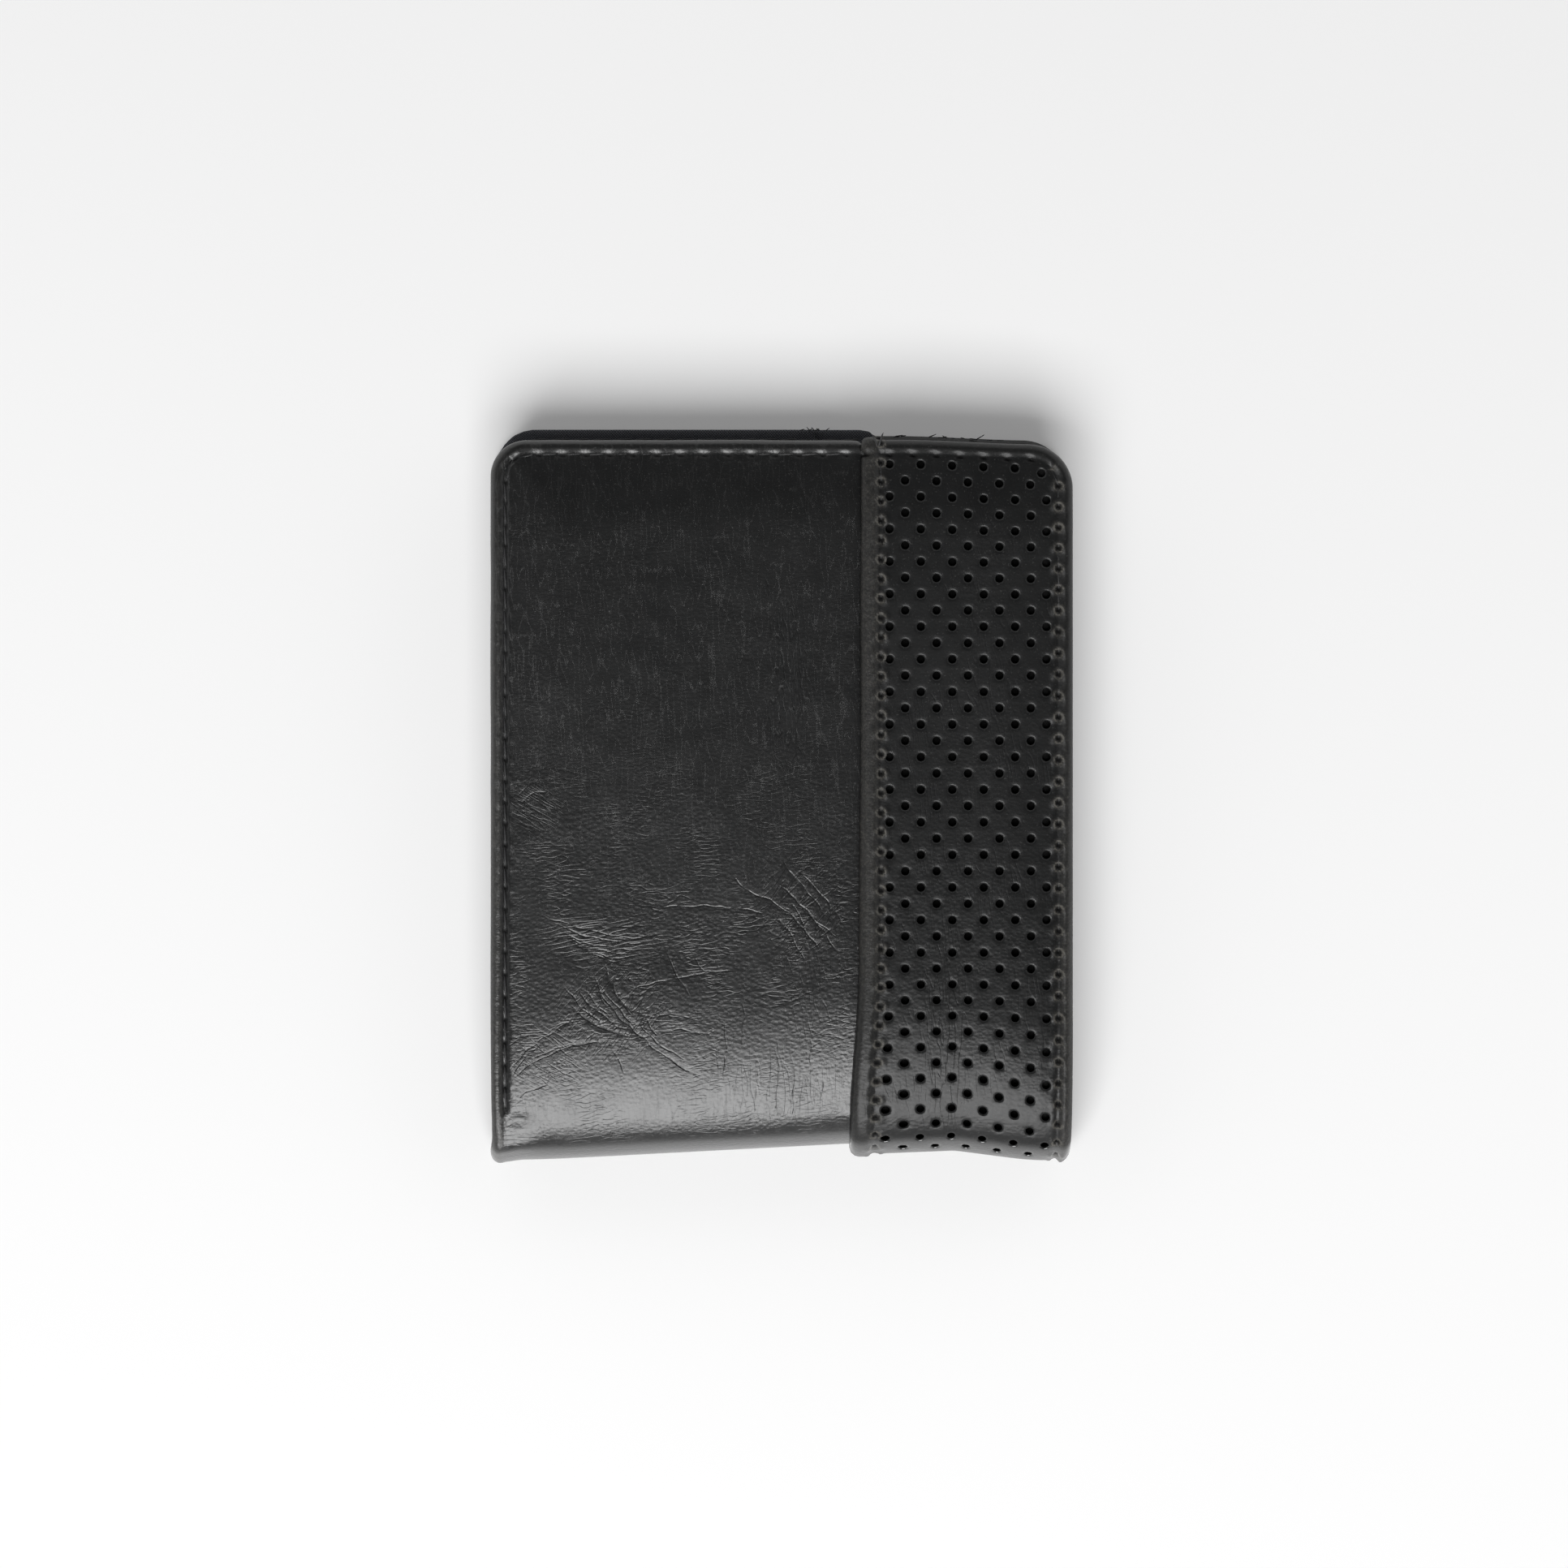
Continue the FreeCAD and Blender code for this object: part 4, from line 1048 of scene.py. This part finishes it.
def perforated_band(side):
    """The band of one half: folded inner edge, perforations, and turned outer edges."""
    columns, rows, middles = band_lines(side)
    bm, i, j = grid(len(columns), len(rows))
    index = np.zeros((len(columns), len(rows)), int)
    index[i, j] = np.arange(len(i))
    fold_u = columns[i] - BAND_X + unrolled(BAND_FOLD_ROLL)
    fold_inset, fold_depth = rolled(np.minimum(fold_u, BAND_FOLD_REACH), BAND_FOLD_ROLL, 0)
    unroll = unrolled(BAND_EDGE_ROLL)
    u, v = TOP_X + unroll - columns[i], rows[j] + unroll
    inset_x, s, depth = turned_corner(u, v, BAND_EDGE_ROLL, CORNER_TOP, fold_depth)
    x = np.where(fold_u < BAND_FOLD_REACH, BAND_X + fold_inset, TOP_X - inset_x)
    x, s = round_holes(x, s, index, middles)
    put(bm, on_skin(side, x + band_swing(side, x, s), s, depth, BAND_FOLD))
    face_towards(bm, nearest(x - 30, s - 40, depth * 50), (0, 0, OUT[side]))

    border = np.minimum(u, v) - unroll
    height = band_height(side, x, s, u, v, border)
    holes = index[middles]
    for _, _, near in around(index, middles, 5):
        height[near] -= 0.08 * bell((np.hypot(x[near] - x[holes], s[near] - s[holes]) - 0.6) / 0.22)
    raise_skin(bm, np.where((border > -0.6) & (fold_u > -0.3), height, 0), side, j)

    keep = np.ones(len(i), bool)
    for _, _, inside in around(index, middles, 1):
        keep[inside] = False
    cut_out(bm, ~keep)
    values = {key: value[keep] for key, value in band_values(side, x, s, border, u <= v).items()}
    obj = piece(f"perforated_leather_{side}", bm, "band_leather", values, np.stack([x, s], axis=1)[keep])
    thicken(obj, BAND_WALL)
    through_fold(obj, side, nodes_of("perforated_band", side))


# Threads

STITCH_SPAN = np.array([0, 0.1, 0.27, 0.5, 0.73, 0.9, 1])
STITCH_RADII = np.array([0, 0.8, 1, 1, 1, 0.8, 0])
WISP_RADII = np.array([0, 1, 1, 0.95, 0.9, 0.8, 0])


def tube(bm, points, radii, up, sides=6):
    """Adds a tube along points; where its radius is zero it closes."""
    along = np.gradient(points, axis=0)
    along /= np.linalg.norm(along, axis=1)[:, None]
    across = np.cross(along, up)
    across /= np.linalg.norm(across, axis=1)[:, None]
    upward = np.cross(across, along)
    made = bmesh.ops.create_grid(bm, x_segments=len(points) - 1, y_segments=sides, size=1)["verts"]
    for vert in made:
        i = round((vert.co.x + 1) / 2 * (len(points) - 1))
        turn = 2 * pi * round((vert.co.y + 1) / 2 * sides) / sides
        vert.co = points[i] + radii[i] * (cos(turn) * across[i] + sin(turn) * upward[i])
    bmesh.ops.remove_doubles(bm, verts=made, dist=1e-5)


def sew(bm, holes, outward, pitch, radius=0.16, top=-0.22, floor=-0.60, slant=0.13):
    """Adds one slanted stitch from each needle hole to the next."""
    f = STITCH_SPAN[:, None]
    for a, b, up in zip(holes, holes[1:], outward):
        run = b - a
        length = np.linalg.norm(run)
        if 0.4 * pitch <= length <= 1.6 * pitch:
            across = np.cross(run, up) / length
            lift = top + (floor - top) * (2 * f - 1) ** 4
            tube(bm, a + run * f + up * lift + across * slant * (1 - 2 * f), STITCH_RADII * radius, up)


def thread_piece(name, bm, body=None, nodes=(), side=None):
    """Finishes threads that ride one body, or that follow a half's leather into the spine."""
    bmesh.ops.recalc_face_normals(bm, faces=bm.faces)
    obj = piece(name, bm, "thread")
    if side:
        through_fold(obj, side, nodes)
        return
    if nodes:
        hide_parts(*nodes)
    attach(obj, body)


def skin_holes(side, x, s, on_band):
    """Needle holes on an outer skin, and the directions away from it."""
    depth, fold = (0, BAND_FOLD) if on_band else (BAND_T, PLAIN_FOLD)
    if on_band:
        x = x + band_swing(side, x, s)
    holes = on_skin(side, x, s, depth, fold)
    outward = holes - on_skin(side, x, s, depth + 0.5, fold)
    return holes, outward / np.linalg.norm(outward, axis=1)[:, None]


def seam_reach(corner):
    """Distance from the edges at which an edge seam's own needle holes start beside a corner."""
    return corner - (corner - EDGE_SEAM) * 0.6


def round_corner(value, corner):
    """How far a seam round a corner lies in from its straight line, at a distance from the edge."""
    radius = corner - EDGE_SEAM
    reach = np.clip(corner - value, 0, radius)
    return radius - np.sqrt(radius ** 2 - reach ** 2)


def steps(first, last, pitch, origin=0.0):
    """Multiples of a pitch from an origin that lie between two values."""
    return origin + pitch * np.arange(np.ceil((first - origin) / pitch), np.floor((last - origin) / pitch) + 1)


def edge_holes(edge_x, inwards, corner, end_x, last_s):
    """Needle holes along the free edge, round one corner and down its side, evenly enough."""
    middle = EDGE_SEAM + (corner - EDGE_SEAM) * (1 - 1 / 2 ** 0.5)
    side_s = steps(seam_reach(corner), last_s, SIDE_STITCH)
    side_x = edge_x + inwards * (EDGE_SEAM + round_corner(side_s, corner))
    end_s = EDGE_SEAM + round_corner(np.abs(end_x - edge_x), corner)
    x = np.concatenate([end_x, [edge_x + inwards * middle], side_x])
    s = np.concatenate([end_s, [middle], side_s])
    clear = np.hypot(np.diff(x), np.diff(s))
    keep = np.ones(len(x), bool)
    keep[len(end_x)] = min(clear[len(end_x) - 1], clear[len(end_x)]) > 1.3
    return x[keep], s[keep]


def edge_thread(side):
    """The edge seam outside, on the plain leather and on the band."""
    bm = bmesh.new()
    end_x = steps(seam_reach(CORNER_BOTTOM), BAND_X - BOTTOM_X - 0.2, TOP_STITCH)[::-1]
    x, s = edge_holes(BOTTOM_X, 1, CORNER_BOTTOM, BOTTOM_X + end_x, END[side] - INNER_Y)
    sew(bm, *skin_holes(side, x[::-1], s[::-1], False), TOP_STITCH, top=-0.16)
    end_x = steps(0.2, TOP_X - BAND_X - seam_reach(CORNER_TOP), TOP_STITCH)
    x, s = edge_holes(TOP_X, -1, CORNER_TOP, BAND_X + end_x, split_s(side) - 0.4)
    sew(bm, *skin_holes(side, x, s, True), TOP_STITCH)
    thread_piece(f"edge_thread_{side}", bm, nodes=nodes_of("edge_stitching", side, "spine_stitching"), side=side)


def band_thread(side):
    bm = bmesh.new()
    s = steps(EDGE_SEAM, split_s(side) - 0.4, BAND_STITCH, BAND_SEAM_START)
    sew(bm, *skin_holes(side, np.full(len(s), BAND_SEAM_X), s, True), BAND_STITCH, slant=0.1)
    thread_piece(f"band_thread_{side}", bm, nodes=[f"band_stitching_{side}"], side=side)


def seam_line(x, y, pitch):
    """Needle holes along a straight line."""
    count = max(2, round(np.hypot(x[1] - x[0], y[1] - y[0]) / pitch) + 1)
    return np.linspace(*x, count), np.linspace(*y, count)


def inner_seam(bm, side, x, y, z, up, pitch, top=0.05):
    """Stitches on a layer inside."""
    outward = np.tile([0, 0, up], (len(x), 1))
    sew(bm, on_half(side, x, y, z), outward, pitch, radius=0.14, top=top, floor=-0.3, slant=0.08)


def inner_z(side, node):
    """Height of a node's face that looks at the other half."""
    low, high = corners(node)
    return high.z if side == "back" else low.z


def inside_thread(side):
    """Edge seam and pocket seams as they show inside."""
    bm = bmesh.new()
    up = -OUT[side]
    low, high = corners(f"inner_panel_{side}")
    z = inner_z(side, f"inner_panel_{side}")
    left, end = BOTTOM_X + EDGE_SEAM, END[side] - EDGE_SEAM
    inner_seam(bm, side, *seam_line((left, left), (low.y + 1.5, end - 4), SIDE_STITCH), z, up, SIDE_STITCH)
    inner_seam(bm, side, *seam_line((left + 4, high.x - 7), (end, end), TOP_STITCH), z, up, TOP_STITCH)
    thread_piece(f"inside_edge_thread_{side}", bm, f"{side}_half")
    bm = bmesh.new()
    pockets = [f"card_pocket_{side}_{number}" for number in (1, 2, 3)]
    starts = [corners(pocket)[1].x + 0.8 for pocket in pockets[1:]] + [corners(pockets[2])[0].x + 1]
    for pocket, start in zip(pockets, starts):
        low, high = corners(pocket)
        z = inner_z(side, pocket) - 0.05 * up
        for y in (low.y + 1.5, high.y - 1.5):
            inner_seam(bm, side, *seam_line((start, high.x - 0.8), (y, y), 3.0), z, up, 3.0)
    thread_piece(f"pocket_thread_{side}", bm, f"{side}_half", [f"pocket_stitching_{side}"])


# Layers inside

def plate(name, node, body, face, thickness, finish, place=None, rounding=None, pitch=1.5,
          x_lines=(), y_lines=(), height=None, edge=0.12, opening=None):
    """A sheet as large as its CAD node, with softened edges, built down from its visible face."""
    low, high = corners(node)
    columns, rows = zoned(low.x, high.x, pitch, x_lines), zoned(low.y, high.y, pitch, y_lines)
    bm, i, j = grid(len(columns), len(rows))
    x, y = round_outline(columns[i], rows[j], (low.x, high.x), (low.y, high.y), rounding or {})
    if place:
        points = place(x, y)
    else:
        points = on_half("back" if body == "back_half" else "front", x, y, high.z if face > 0 else low.z)
    if height:
        points[:, 2] += face * height(x, y)
    put(bm, points)
    face_towards(bm, len(i) // 2, (0, 0, face))
    cut = np.stack([x, y], axis=1)
    if opening:
        cut_out(bm, inside_box(columns[i], rows[j], *opening) > 0.01)
        cut = None
    obj = piece(name, bm, finish, None, cut)
    thicken(obj, thickness)
    soften(obj, edge)
    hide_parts(node)
    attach(obj, body)
    return obj


def inside_box(x, y, x_span, y_span):
    """Distance from the nearest side of a box, above zero inside it."""
    return np.minimum(np.minimum(x - x_span[0], x_span[1] - x), np.minimum(y - y_span[0], y_span[1] - y))


def groove(distance, depth=0.12, width=0.35):
    return -depth * bell(distance / width)


def fold_sheet(name, stem, side, depth, rounding):
    """A nylon sheet that runs from near a half's free edge into the fold."""
    low, high = corners(f"{stem}_{side}")
    line_s, _, _, tilt = profile(side, depth)
    start_s, end_s = END[side] - high.y, line_s[-1]
    columns = runs(low.x, (high.x, 1.6))
    rows = runs(start_s, (line_s[bend_start(side, tilt)], 1.4), (end_s, 0.35))
    bm, i, j = grid(len(columns), len(rows))
    x, s = round_outline(columns[i], rows[j], (low.x, high.x), (start_s, end_s), rounding)
    put(bm, on_layer(side, x, s, depth))
    face_towards(bm, nearest(x + 5, s - 40), (0, 0, OUT[side]))
    obj = piece(f"{name}_{side}", bm, "nylon", None, np.stack([x, s], axis=1))
    thicken(obj, LINING_T)
    soften(obj, LINING_T * 0.3)
    through_fold(obj, side, nodes_of(stem, side), depth)
    (end_s - start_s) * MM


def shell_layers(side):
    """Lining, divider and board, which all lie along the outer leather."""
    low_corner, high_corner = (True, True), (False, True)
    fold_sheet("note_lining", "outer_lining", side, LINING_DEPTH,
               {low_corner: CORNER_BOTTOM - 1.5, high_corner: CORNER_TOP - 1.5})
    fold_sheet("divider", "note_divider", side, DIVIDER_DEPTH, {low_corner: CORNER_BOTTOM - 0.8})
    low, high = corners(f"stiffener_{side}")
    depth = low.z if side == "back" else THICK - high.z
    plate(f"board_{side}", f"stiffener_{side}", f"{side}_half", OUT[side], high.z - low.z - 0.05, "board",
          place=lambda x, y: on_skin(side, x, END[side] - y, depth, PLAIN_FOLD), pitch=3)


BINDING_ROLL = 0.75
BINDING_LEG = 5.2


def binding(side):
    """Leather strip folded over the divider's top edge."""
    high = corners(f"divider_binding_{side}")[1]
    half = BINDING_ROLL * pi / 2
    base = DIVIDER_DEPTH - 0.25
    start_s, end_s = END[side] - high.y + 0.4, split_s(side, DIVIDER_DEPTH + 0.4)
    columns = runs(-half - BINDING_LEG, (-half - 0.1, 0.5), (half, 0.26), (half + BINDING_LEG, 0.45))
    rows = runs(start_s, (end_s - 14, 1.2), (end_s, 0.4))
    bm, i, j = grid(len(columns), len(rows))
    inset, depth = rolled(columns[i], BINDING_ROLL, 0)
    x, s = high.x - inset, rows[j]
    points = np.zeros((len(i), 3))
    for level in np.unique(np.round(depth, 4)):
        pick = np.abs(depth - level) < 1e-3
        own_end = split_s(side, base + level)
        scaled = start_s + (s[pick] - start_s) * (own_end - start_s) / (end_s - start_s)
        points[pick] = on_layer(side, x[pick], scaled, base + level)
    put(bm, points)
    face_towards(bm, nearest(x - 34, s - 40, depth * 50), (0, 0, OUT[side]))
    seam = groove(x - (high.x - 4.6), 0.10) * (np.abs(columns[i]) > BINDING_ROLL * 1.5)
    put(bm, raised(bm, seam))
    obj = piece(f"binding_{side}", bm, "lining_leather", None, np.stack([x, s], axis=1))
    thicken(obj, 0.28)
    through_fold(obj, side, nodes_of("divider_binding", side), DIVIDER_DEPTH)


def inner_panel(side):
    """Leather panel that carries the card pockets."""
    node = f"inner_panel_{side}"
    low, high = corners(node)
    end_seam = high.y - (EDGE_SEAM - 0.8)
    left_seam = BOTTOM_X + EDGE_SEAM

    def height(x, y):
        edge = np.minimum(np.minimum(x - low.x, high.y - y), y - low.y)
        return groove(x - left_seam) + groove(y - end_seam) + 0.03 * rumple(x, y, 9, 30) - 0.18 * fade(edge, 0.35)

    plate(f"inner_leather_{side}", node, f"{side}_half", -OUT[side], high.z - low.z - 0.05, "lining_leather",
          rounding={(True, False): CORNER_BOTTOM - 0.8}, x_lines=(low.x, left_seam),
          y_lines=(end_seam, high.y, low.y), height=height, edge=0.2)


def card_pocket(side, number):
    node = f"card_pocket_{side}_{number}"
    low, high = corners(node)
    crease = high.x - 2.2
    ends = (low.y + 1.5, high.y - 1.5)

    def height(x, y):
        middle = 1 - smooth((np.abs(y - (low.y + high.y) / 2) - 36) / 10)
        own = 0.10 * middle * smooth((x - high.x + 9) / 9) - 0.06 - 0.12 * fade(high.x - x, 0.4)
        seams = groove(x - crease, 0.10, 0.3) + groove(y - ends[0], 0.08) + groove(y - ends[1], 0.08)
        return own + seams + 0.02 * rumple(x, y, 8, 40 + number)

    plate(f"card_pocket_leather_{side}_{number}", node, f"{side}_half", -OUT[side], 0.48, "lining_leather",
          pitch=1.8, x_lines=(crease, high.x), y_lines=ends, height=height, edge=0.15)


# ID flap

FLAP_SEAM = 1.6
FLAP_ROUNDING = {(True, False): 6.0, (False, False): 2.0, (True, True): 6.0, (False, True): 2.0}
FLAP_WINDOW_MARGIN = (7.5, 11.0)


def flap_frame():
    """Leather frame of the flap, with the window's opening."""
    low, high = corners("flap_frame")
    margin_x, margin_y = FLAP_WINDOW_MARGIN
    opening = ((low.x + margin_x, high.x - margin_x), (low.y + margin_y, high.y - margin_y))

    def height(x, y):
        inset = inside_box(x, y, (low.x, high.x), (low.y, high.y))
        to_opening = -inside_box(x, y, *opening)
        own = -0.2 * fade(inset, 0.35) - 0.15 * fade(to_opening, 0.4)
        return own + groove(inset - FLAP_SEAM) + groove(to_opening - FLAP_SEAM, 0.08, 0.3)

    plate("flap_leather_frame", "flap_frame", "id_flap", -1, 0.75, "lining_leather", rounding=FLAP_ROUNDING,
          x_lines=(low.x, low.x + FLAP_SEAM, *opening[0], high.x - FLAP_SEAM, high.x),
          y_lines=(low.y, low.y + FLAP_SEAM, *opening[1], high.y - FLAP_SEAM, high.y),
          height=height, edge=0.18, opening=opening)


def flap_sheet(name, node, thickness, rounding):
    """A nylon sheet of the flap, stitched along three sides."""
    low, high = corners(node)

    def height(x, y):
        inset = np.minimum(x - low.x, np.minimum(y - low.y, high.y - y))
        return 0.05 * rumple(x, y, 12, 62) * smooth(inset / 4) - 0.12 * fade(inset, 0.3) \
            + groove(inset - FLAP_SEAM, 0.06)

    obj = plate(name, node, "id_flap", 1, thickness, "nylon", rounding=rounding,
                x_lines=(low.x, low.x + FLAP_SEAM, high.x),
                y_lines=(low.y, low.y + FLAP_SEAM, high.y - FLAP_SEAM, high.y), height=height, edge=0.1)


def flap():
    flap_frame()
    plate("flap_clear_window", "flap_window", "id_flap", -1, 0.28, "clear_window", pitch=4, edge=0.05,
          height=lambda x, y: 0.04 * rumple(x, y, 16, 61))
    flap_sheet("flap_nylon_backing", "flap_backing", 0.3, FLAP_ROUNDING)
    flap_sheet("flap_nylon_pocket", "flap_slip_pocket", 0.32, {(True, False): 6.0, (True, True): 6.0})


def flap_thread():
    bm = bmesh.new()
    low, high = corners("flap_frame")
    pocket = corners("flap_slip_pocket")[1]
    left, near, far = low.x + FLAP_SEAM, low.y + FLAP_SEAM, high.y - FLAP_SEAM
    lines = (((left, left), (low.y + 5, high.y - 5)),
             ((low.x + 5, high.x - 2.2), (far, far)),
             ((low.x + 5, high.x - 2.2), (near, near)))
    for up, z, step in ((-1, low.z, 0), (1, pocket.z, 0.4)):
        for line in lines:
            x, y = seam_line(*line, 3.2)
            inner_seam(bm, "front", x, y, z - step * (x > pocket.x), up, 3.2, top=0.02)
    thread_piece("flap_thread", bm, "id_flap", ["flap_stitching"])


def hinge():
    """Nylon strip that the flap turns on: sewn down, upright, then bent over under the flap."""
    low, high = corners("flap_hinge_strip")
    anchor_low, anchor_high = corners("hinge_anchor_strip")
    hinge_y, sewn = (anchor_low.y + anchor_high.y) / 2, anchor_high.z
    top = high.z - 0.02
    path = np.array([(-0.75, sewn + 0.12), (-0.35, sewn + 0.13), (-0.05, sewn + 0.3), (0, sewn + 0.8),
                     (0.02, 6.2), (0.04, 7.2), (0.15, top - 0.5), (0.5, top - 0.1),
                     (1.3, top - 0.05), (2.6, top - 0.05)]) + (hinge_y, 0)
    away = np.concatenate([[0], np.cumsum(np.hypot(*np.diff(path, axis=0).T))])
    columns, rows = runs(low.x, (high.x, 1.2)), np.linspace(0, away[-1], 28)
    bm, i, j = grid(len(columns), len(rows))
    x, along = columns[i], rows[j]
    y, z = np.interp(along, away, path[:, 0]), np.interp(along, away, path[:, 1])
    ripple = 0.06 * np.sin(x * 0.9) * np.sin(pi * along / away[-1])
    put(bm, on_half("back", x, y + ripple, z))
    face_towards(bm, nearest(x, z - 6.5), (0, -1, 0))
    obj = piece("hinge_nylon", bm, "nylon", None, np.stack([x, along], axis=1))
    thicken(obj, 0.24)
    soften(obj, 0.06)
    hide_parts("flap_hinge_strip")
    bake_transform(obj)
    plate("anchor_nylon", "hinge_anchor_strip", "back_half", 1, sewn - anchor_low.z, "nylon", edge=0.08)


def loose_ends():
    """Frayed thread ends that stick out at the free edges."""
    rng = np.random.default_rng(4)

    def wisp(bm, start, way, length, radius, curl):
        way = np.array(way, float)
        way /= np.linalg.norm(way)
        bend = np.cross(way, [0, 0, 1]) * curl + np.array([0, 0, rng.uniform(-0.1, 0.25)])
        t = np.linspace(0, 1, 7)[:, None]
        points = np.array(start) + way * t * length + bend * length * t ** 2
        tube(bm, points, radius * WISP_RADII, np.array([0, 0, 1]), sides=5)

    bm = bmesh.new()
    for _ in range(14):
        x = rng.uniform(14, 35)
        start = (x, END["back"] - 0.25 - free_lean(x), rng.uniform(2.0, 3.2))
        way = (rng.choice((-1, 1)), rng.uniform(-0.1, 0.35), 0)
        wisp(bm, start, way, rng.uniform(0.6, 1.6), 0.09, rng.uniform(-0.3, 0.3))
    for y in (42.3, 41.0, 39.6):
        wisp(bm, (BOTTOM_X + 0.1, y, 2.6), (-0.6, rng.uniform(-1, 1), 0), 1.1, 0.07, rng.uniform(-0.5, 0.5))
    thread_piece("loose_ends_back", bm, "back_half")
    bm = bmesh.new()
    for _ in range(9):
        x = rng.normal(5.0, 0.8)
        wisp(bm, (x, 56.5, rng.uniform(7.9, 8.4)), (rng.uniform(-1, 1), rng.uniform(0.1, 0.4), 0.1),
             rng.uniform(0.4, 0.9), 0.08, rng.uniform(-0.4, 0.4))
    thread_piece("loose_ends_flap", bm, "id_flap")
    bm = bmesh.new()
    wisp(bm, (BAND_X + 2.3, END["front"] - 1.3, THICK - 0.5), (0.15, 1, 0.1), 2.4, 0.16, 0.15)
    wisp(bm, (BAND_X + 2.1, END["front"] - 1.3, THICK - 0.6), (-0.2, 1, 0.0), 1.9, 0.13, -0.3)
    thread_piece("loose_ends_front", bm, "front_half")


# Stage, light and camera

CAMERA_HEIGHT = 570.2
CAMERA_X = 0.375
CAMERA_Y = 1.4
KEY_DISTANCE = 1.7
KEY_HALF_WIDTH = 22
KEY_HALF_HEIGHT = 17
KEY_ZENITH = 36.5
KEY_LEFT = -0.11
KEY_LEVEL = 7.1
HORIZON_LEVEL = 0.9
CARD_LEVEL = 0.32
SIDE_LEVEL = 0.4
ROOM_LEVELS = (0.14, 0.05)
FLOOR_LIFT = 0.11       # share of plain white that the camera sees in the floor


def floor():
    g = new_material("pale_floor")
    cloud = g.noise(g.object_place(), 300, 2)
    paper = g.node("ShaderNodeBsdfDiffuse", None, {
        "Color": g.blend_colour(cloud, (0.93, 0.93, 0.93), (0.94, 0.94, 0.94))})
    rays = [g.node("ShaderNodeLightPath", out=f"Is {kind} Ray") for kind in ("Camera", "Glossy", "Transmission")]
    lift = (rays[0] + rays[1] + rays[2]) * FLOOR_LIFT
    lifted = g.node("ShaderNodeMixShader", None, {0: lift, 1: paper, 2: g.node("ShaderNodeEmission")})
    bm = bmesh.new()
    bmesh.ops.create_grid(bm, x_segments=1, y_segments=1, size=6000)
    make_object("floor", bm, g.close(lifted))


def room():
    """A dark room with a bright horizon and a fill card behind."""
    g = Graph(bpy.data.worlds.new("studio"))
    way = g.node("ShaderNodeTexCoord", out="Generated")
    back, up = g.axis(way, "Y"), g.axis(way, "Z")
    card = g.step(up, 0.20, 0.28) * g.step(up, 0.68, 0.50)
    card = card * (g.step(back, 0.05, 0.75) * CARD_LEVEL + g.step(back, -0.5, 0.0) * SIDE_LEVEL)
    level = g.step(up, 0.27, 0.17) * HORIZON_LEVEL + card + g.step(up, 0.4, 0.9, ROOM_LEVELS)
    surface = g.node("ShaderNodeBackground", None, {"Color": level})
    bpy.context.scene.world = g.close(surface, "ShaderNodeOutputWorld")


def key_light():
    """A large soft lamp above the fold side, square to its direction."""
    lamp = bpy.data.lights.new("soft_key", "AREA")
    lamp.shape = "RECTANGLE"
    lamp.size = 2 * KEY_DISTANCE * np.tan(radians(KEY_HALF_WIDTH))
    lamp.size_y = 2 * KEY_DISTANCE * np.tan(radians(KEY_HALF_HEIGHT))
    lamp.energy = KEY_LEVEL * pi * lamp.size * lamp.size_y
    key = bpy.data.objects.new("soft_key", lamp)
    bpy.context.scene.collection.objects.link(key)
    direction = Vector((KEY_LEFT, -sin(radians(KEY_ZENITH)), cos(radians(KEY_ZENITH)))).normalized()
    key.location = direction * KEY_DISTANCE
    key.rotation_mode = "QUATERNION"
    key.rotation_quaternion = direction.to_track_quat("Z", "Y")


def camera():
    lens = bpy.data.cameras.new("camera")
    lens.lens = 85
    lens.sensor_width = 36
    lens.clip_start = 0.01
    eye = bpy.data.objects.new("camera", lens)
    eye.location = (CAMERA_X * MM, CAMERA_Y * MM, (CAMERA_HEIGHT + THICK) * MM)
    bpy.context.scene.collection.objects.link(eye)
    bpy.context.scene.camera = eye


floor()
room()
key_light()
camera()
bpy.context.scene.view_settings.view_transform = "Standard"
for half in HALVES:
    main_panel(half)
    perforated_band(half)
    edge_thread(half)
    band_thread(half)
    shell_layers(half)
    binding(half)
    inner_panel(half)
    for pocket in (1, 2, 3):
        card_pocket(half, pocket)
    inside_thread(half)
flap()
flap_thread()
hinge()
loose_ends()
